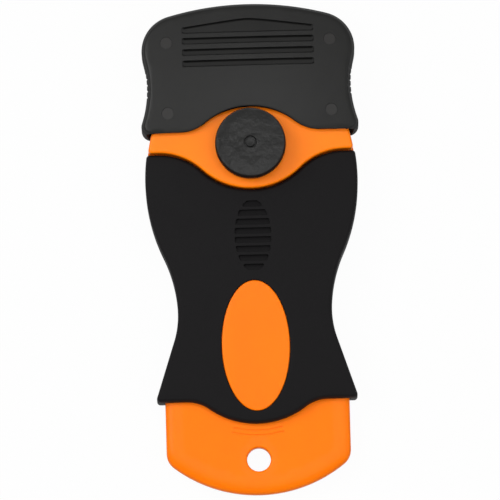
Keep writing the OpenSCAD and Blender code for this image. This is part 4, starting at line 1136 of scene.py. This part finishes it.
class Finish:
    """A material whose nodes are added by one method."""

    def __init__(self, name):
        self.material = bpy.data.materials.new(name)
        self.material.use_nodes = True
        self.tree = self.material.node_tree
        self.shader = self.tree.nodes["Principled BSDF"]
        self.place = self.node("ShaderNodeTexCoord", {}, {}).outputs["Object"]

    def node(self, kind, settings, sockets):
        """A node of a kind, with its settings set first and its sockets given or linked."""
        made = self.tree.nodes.new(kind)
        for key, value in settings.items():
            setattr(made, key, value)
        for key, value in sockets.items():
            self.give(made.inputs[key], value)
        return made

    def give(self, socket, value):
        """Links a value or a socket, or sets a plain number or colour."""
        if isinstance(value, Value):
            value = value.socket
        if isinstance(value, bpy.types.NodeSocket):
            self.tree.links.new(value, socket)
        else:
            socket.default_value = value

    def noise(self, size_mm, detail=3.0, stretch=(1, 1, 1)):
        """Noise whose lumps are about size_mm across, stretched along the axes."""
        scaled = self.node("ShaderNodeMapping", {}, {"Vector": self.place, "Scale": stretch})
        made = self.node("ShaderNodeTexNoise", {}, {"Vector": scaled.outputs[0],
                                                    "Scale": 1 / (size_mm * MM), "Detail": detail})
        return Value(self, made.outputs[0])

    def cells(self, size_mm):
        """Distance to the middle of the nearest of many random cells."""
        made = self.node("ShaderNodeTexVoronoi", {}, {"Vector": self.place,
                                                      "Scale": 1 / (size_mm * MM)})
        return Value(self, made.outputs["Distance"])

    def upright(self, low, high):
        """1 on upright walls and 0 on level faces, from the share of the normal along Z."""
        geometry = self.node("ShaderNodeNewGeometry", {}, {})
        split = self.node("ShaderNodeSeparateXYZ", {}, {0: geometry.outputs["Normal"]})
        return 1 - Value(self, split.outputs[2]).over(low, high)

    def near(self, spots, radius_mm):
        """1 within a radius of any of the spots (in millimetres) and 0 outside."""
        found = 0.0
        for spot in spots:
            gap = self.node("ShaderNodeVectorMath", {"operation": "DISTANCE"},
                            {0: self.place, 1: [MM * c for c in spot]})
            distance = Value(self, gap.outputs["Value"])
            found = found + (1 - distance.over(0.94 * radius_mm * MM, radius_mm * MM))
        return found

    def blend(self, share, first, second):
        """A colour between two, by a value."""
        made = self.node("ShaderNodeMix", {"data_type": "RGBA"}, {0: share, 6: first, 7: second})
        return made.outputs[2]

    def bump(self, height, depth_mm, strength=1.0):
        """Fine relief from a value, depth_mm high."""
        made = self.node("ShaderNodeBump", {}, {"Height": height, "Distance": depth_mm * MM,
                                                "Strength": strength})
        self.give(self.shader.inputs["Normal"], made.outputs[0])

    def surface(self, colour, roughness, plain):
        """Gives the shader its colour and roughness, and plain numbers to other sockets."""
        self.give(self.shader.inputs["Base Color"], colour)
        self.give(self.shader.inputs["Roughness"], roughness)
        for name, number in plain.items():
            self.shader.inputs[name].default_value = number


def tone(red, green, blue):
    """A screen colour, 0 to 255, as the linear colour that the shader takes."""
    c = np.array([red, green, blue]) / 255
    linear = np.where(c <= 0.04045, c / 12.92, ((c + 0.055) / 1.055) ** 2.4)
    return (*linear.tolist(), 1.0)


print("finish helpers are ready")

# %% [markdown]
# ## Plastics
# The guard and knob are hard black plastic with a satin to semi-gloss skin, and the cover and
# shells are orange plastic with a fine sheen, the shells a little deeper in tone. Colour,
# roughness and a very fine relief each vary with their own noise, so that no surface is one flat
# value. An image of real plastic would stretch over the walls, where noise in space does not. On
# the black pieces the upright walls are rougher than the faces, as spark-eroded walls are, and
# their colour is painted darker as painted shade. The mould's pins leave four spots on the guard
# a little lighter.

# %% Hard black and orange plastics


def satin_black(name, spots=()):
    """Moulded black plastic: fine spark-eroded grain, slight cloudiness in tone and gloss, and
    coarser walls, painted darker as painted shade. The ends of the ejector pins leave spots a
    little lighter."""
    f = Finish(name)
    cloud = f.noise(9, 4)
    grain = f.noise(0.16, 2)
    level_tone = f.blend(cloud, tone(12, 12, 11), tone(21, 21, 20))
    # Painted shade: the upright walls are painted near black, darker than the lamps leave them.
    colour = f.blend(f.upright(0.35, 0.93), level_tone, tone(6, 6, 6))
    if spots:
        colour = f.blend(f.near(spots, MARK_R), colour, tone(34, 33, 32))
    coarse = 0.5 * f.upright(0.1, 0.7)
    f.surface(colour, 0.27 + 0.06 * cloud + 0.05 * grain + coarse, {"Specular IOR Level": 0.2})
    f.bump(grain + 0.4 * f.noise(2.2, 3), 0.012)
    return f.material


def knob_black():
    """The same plastic with a polished face: smoother, with long soft waves of sink."""
    f = Finish("polished_black_plastic")
    cloud = f.noise(6, 3)
    wave = f.noise(3.0, 2)
    flank = f.upright(0.3, 0.8)
    face_tone = f.blend(cloud, tone(11, 11, 11), tone(20, 20, 19))
    # Painted shade: the upright flank is painted near black, and it is also made rougher.
    f.surface(f.blend(flank, face_tone, tone(5, 5, 5)), 0.25 + 0.07 * cloud + 0.5 * flank,
              {"Specular IOR Level": 0.22})
    f.bump(0.92 * wave + 0.08 * f.noise(0.3, 2), 0.3)
    return f.material


def orange(name, dark, light, gloss):
    """Bright orange plastic with faint flow clouds and a fine grain, in two tones and a gloss."""
    f = Finish(name)
    cloud = f.noise(14, 4, (1, 0.5, 1))
    grain = f.noise(0.2, 2)
    f.surface(f.blend(cloud, dark, light), 0.34 + 0.08 * cloud + 0.04 * grain,
              {"Specular IOR Level": gloss, "Subsurface Weight": 0.12,
               "Subsurface Radius": (1.0, 0.22, 0.04), "Subsurface Scale": 3 * MM})
    f.bump(grain + 0.5 * f.noise(3, 2), 0.008)
    return f.material


pin_spots = [(x, y, float(guard_dome(x, y)) - MARK_DEEP) for x, y in mark_places]
guard_finish = satin_black("guard_black_plastic", pin_spots)
black_plastic_finish = satin_black("satin_black_plastic")
knob_finish = knob_black()
cover_finish = orange("orange_cover_plastic", tone(253, 121, 0), tone(255, 131, 1), 0.2)
shell_finish = orange("orange_shell_plastic", tone(252, 114, 0), tone(255, 125, 0), 0.15)
print("plastics:", guard_finish.name, black_plastic_finish.name, knob_finish.name,
      cover_finish.name, shell_finish.name)

# %% [markdown]
# ## Soft rubber
# The grip is soft-touch rubber: dry, almost black, with a leathery grain and patches rubbed
# smooth by a hand. Its grain is small round cells, which a noise alone doesn't give.

# %% Dry black rubber


def rubber():
    """Soft-touch rubber: dry and even, with a leathery micro grain and faint rubbed patches."""
    f = Finish("soft_black_rubber")
    patch = f.noise(11, 4).over(0.35, 0.7)
    grain = f.cells(0.32)
    f.surface(f.blend(patch, tone(9, 8, 9), tone(15, 14, 15)), 0.62 + 0.1 * patch + 0.05 * grain,
              {"Specular IOR Level": 0.12})
    f.bump(grain + 0.8 * f.noise(1.6, 3), 0.018)
    return f.material


rubber_finish = rubber()
print("rubber:", rubber_finish.name)

# %% [markdown]
# ## Metals
# The blade is bright carbon steel, ground along its edge, so its roughness is streaked by noise
# stretched across the grinding. The screws and washer are zinc plated: a little blue, with
# blotches. Brass and spring steel are plain metals with fine turning marks.

# %% Steel, zinc, brass


def ground_steel():
    """Blade steel: fine grinding lines that run along the edge, and a thin film of oil."""
    f = Finish("ground_blade_steel")
    lines = f.noise(0.5, 4, (0.02, 1, 1))
    film = f.noise(12, 3)
    f.surface(f.blend(film, tone(176, 180, 186), tone(205, 207, 210)),
              0.2 + 0.14 * lines + 0.06 * film, {"Metallic": 1.0})
    f.bump(lines, 0.004)
    return f.material


def metal(name, dark, bright, rough, size_mm):
    """A plain metal between two tones, with blotches of gloss and fine marks."""
    f = Finish(name)
    blotch = f.noise(size_mm, 4)
    marks = f.noise(0.25, 3, (1, 1, 6))
    f.surface(f.blend(blotch, dark, bright), rough + 0.12 * blotch + 0.05 * marks,
              {"Metallic": 1.0})
    f.bump(marks, 0.006)
    return f.material


steel_finish = ground_steel()
zinc_finish = metal("zinc_plate", tone(150, 156, 166), tone(196, 200, 206), 0.28, 2.5)
spring_finish = metal("bright_spring_steel", tone(120, 122, 126), tone(160, 161, 163), 0.24, 1.5)
brass_finish = metal("turned_brass", tone(196, 152, 74), tone(222, 182, 104), 0.25, 2.0)
print("metals:", steel_finish.name, zinc_finish.name, spring_finish.name, brass_finish.name)

# %% [markdown]
# ## Which piece wears what
# Each new piece takes one finish. The blades are the solids themselves, so they keep the slots
# they came with and only the finish in them changes.

# %% Put each finish on its pieces
SPARES = 5


def dress(finish, *pieces):
    """Each new piece gets the finish as its only material. A solid keeps its slots, and each
    of them takes the finish."""
    for piece in pieces:
        if not piece.material_slots:
            piece.data.materials.append(finish)
        for held in piece.material_slots:
            held.material = finish


dress(guard_finish, guard_shell)
dress(black_plastic_finish, door)
dress(knob_finish, knob)
dress(cover_finish, cover_shell)
dress(shell_finish, shell_upper, shell_lower, shell_tail)
dress(rubber_finish, grip_upper, grip_lower)
dress(steel_finish, nodes["razor_blade"],
      *[nodes["spare_blade_%d" % (i + 1)] for i in range(SPARES)])
dress(zinc_finish, screw, washer, case)
dress(spring_finish, stop, spring_coil)
dress(brass_finish, insert)

# %% [markdown]
# ## Floor and world
# The tool lies on a pale floor in a white room. More light would turn the floor white, but it
# would bleach the orange too. So the floor and the world only look white, to the camera, in
# reflections and through glass, while the world lights the tool weakly and the floor keeps a
# soft shadow.

# %% Floor and world
RAYS = ("Is Camera Ray", "Is Glossy Ray", "Is Transmission Ray")
FLOOR_HALF_M, FLOOR_DROP_M, FLOOR_WHITE, WORLD_LEVEL = 3.0, 0.0002, 0.965, 0.12


def seen(path):
    """1 for rays that look at the background: straight, in a mirror image or through glass."""
    return path[RAYS[0]] + path[RAYS[1]] + path[RAYS[2]]


def pale_floor():
    """A large square just under the tool. A ray that looks at it sees it nearly plain white."""
    half = FLOOR_HALF_M
    mesh = bpy.data.meshes.new("floor")
    corners = [(-half, -half, 0), (half, -half, 0), (half, half, 0), (-half, half, 0)]
    mesh.from_pydata(corners, [], [(0, 1, 2, 3)])
    floor = new_object("floor", mesh)
    floor.location.z = -FLOOR_DROP_M
    f = Finish("pale_floor")
    f.surface(f.blend(f.noise(200, 2), tone(205, 205, 205), tone(210, 210, 210)), 0.9, {})
    path = f.node("ShaderNodeLightPath", {}, {})
    share = FLOOR_WHITE * seen({name: Value(f, path.outputs[name]) for name in RAYS})
    glow = f.node("ShaderNodeEmission", {}, {"Color": (1, 1, 1, 1), "Strength": 1.0})
    both = f.node("ShaderNodeMixShader", {},
                  {0: share, 1: f.shader.outputs[0], 2: glow.outputs[0]})
    f.tree.links.new(both.outputs[0], f.tree.nodes["Material Output"].inputs[0])
    mesh.materials.append(f.material)
    return floor


def white_world(level):
    """Even light of a level for the object, and plain white where the world is looked at: its
    strength is the level, or 1 for a ray of one of the three kinds that look."""
    world = bpy.data.worlds.new("studio")
    bpy.context.scene.world = world
    world.use_nodes = True
    tree = world.node_tree
    path = tree.nodes.new("ShaderNodeLightPath")
    looks = tree.nodes.new("ShaderNodeMath")
    more = tree.nodes.new("ShaderNodeMath")
    tree.links.new(path.outputs[RAYS[0]], looks.inputs[0])
    tree.links.new(path.outputs[RAYS[1]], looks.inputs[1])
    tree.links.new(looks.outputs[0], more.inputs[0])
    tree.links.new(path.outputs[RAYS[2]], more.inputs[1])
    strength = tree.nodes.new("ShaderNodeMix")
    strength.inputs[2].default_value = level
    strength.inputs[3].default_value = 1.0
    tree.links.new(more.outputs[0], strength.inputs[0])
    back = tree.nodes["Background"]
    back.inputs[0].default_value = (1, 1, 1, 1)
    tree.links.new(strength.outputs[0], back.inputs[1])
    return world


floor = pale_floor()
world = white_world(WORLD_LEVEL)
print("floor:", floor.name, "world:", world.name, "at", WORLD_LEVEL)

# %% [markdown]
# ## Lamps
# A large key lamp at the upper left gives the soft shadow, a still larger one overhead evens out
# the colours, and a weak fill stands at the right. A small lamp nearly overhead, towards the
# blade, lays a faint sheen on the black pieces. The overhead lamp doesn't show in reflections,
# because its mirror image would turn the black pieces grey. Together they are at a plain level,
# at which a colour renders about as it is written.

# %% Four soft lamps


def soft_lamp(name, place, size, power):
    """A square lamp that faces the middle of the tool."""
    data = bpy.data.lights.new(name, "AREA")
    data.shape = "SQUARE"
    data.size = size
    data.energy = power
    lamp = new_object(name, data)
    lamp.location = place
    lamp.rotation_euler = (-Vector(place)).to_track_quat("-Z", "Y").to_euler()
    return lamp


key = soft_lamp("key", (-0.6, 0.2, 0.8), 0.6, 5.6)
top = soft_lamp("top", (0.1, -0.1, 1.1), 0.9, 7.3)
top.visible_glossy = False
sheen = soft_lamp("sheen", (0.02, 0.29, 1.05), 0.16, 0.7)
fill = soft_lamp("fill", (0.7, -0.1, 0.8), 0.7, 2.2)
print("lamps:", key.name, top.name, sheen.name, fill.name)

# %% [markdown]
# ## The camera
# The view is almost straight down, tilted six degrees towards the tail, through a very long
# lens. A millimetre on the parting plane spans about 3.07 of the picture's 500 pixels, and the
# tool is turned a degree and a half. So the camera is placed by the spot it looks at.

# %% Camera
TILT, ROLL = math.radians(6), math.radians(1.55)
PICTURE_PX, MM_PER_PX, AIM_MM, AWAY, SENSOR_MM = 500, 0.3256, (-1.08, 0.7, 0), 6.0, 36
FRAME_MM = PICTURE_PX * MM_PER_PX
aim = Vector(AIM_MM) * MM
toward = Vector((0, -math.sin(TILT), math.cos(TILT)))
level_up = Vector((0, math.cos(TILT), math.sin(TILT)))
right = math.cos(ROLL) * Vector((1, 0, 0)) - math.sin(ROLL) * level_up
up = math.sin(ROLL) * Vector((1, 0, 0)) + math.cos(ROLL) * level_up
optics = bpy.data.cameras.new("camera")
optics.sensor_width = SENSOR_MM
optics.lens = SENSOR_MM * AWAY / (FRAME_MM * MM)
optics.clip_start, optics.clip_end = 0.1, 20
camera = new_object("camera", optics)
turned = Matrix((right, up, toward)).transposed().to_4x4()
camera.matrix_world = Matrix.Translation(aim + toward * AWAY) @ turned
bpy.context.scene.camera = camera
bpy.context.scene.view_settings.view_transform = "Standard"
print("lens %.0f mm at %.1f m" % (optics.lens, AWAY))

# %% [markdown]
# ## Sizes
# A box is turned into plain lists of numbers. The dressed model has to stay inside the box
# of the solids.

# %% A box as plain lists


def plain(bounds):
    """A box as plain lists of numbers."""
    return [[float(x) for x in corner] for corner in bounds]
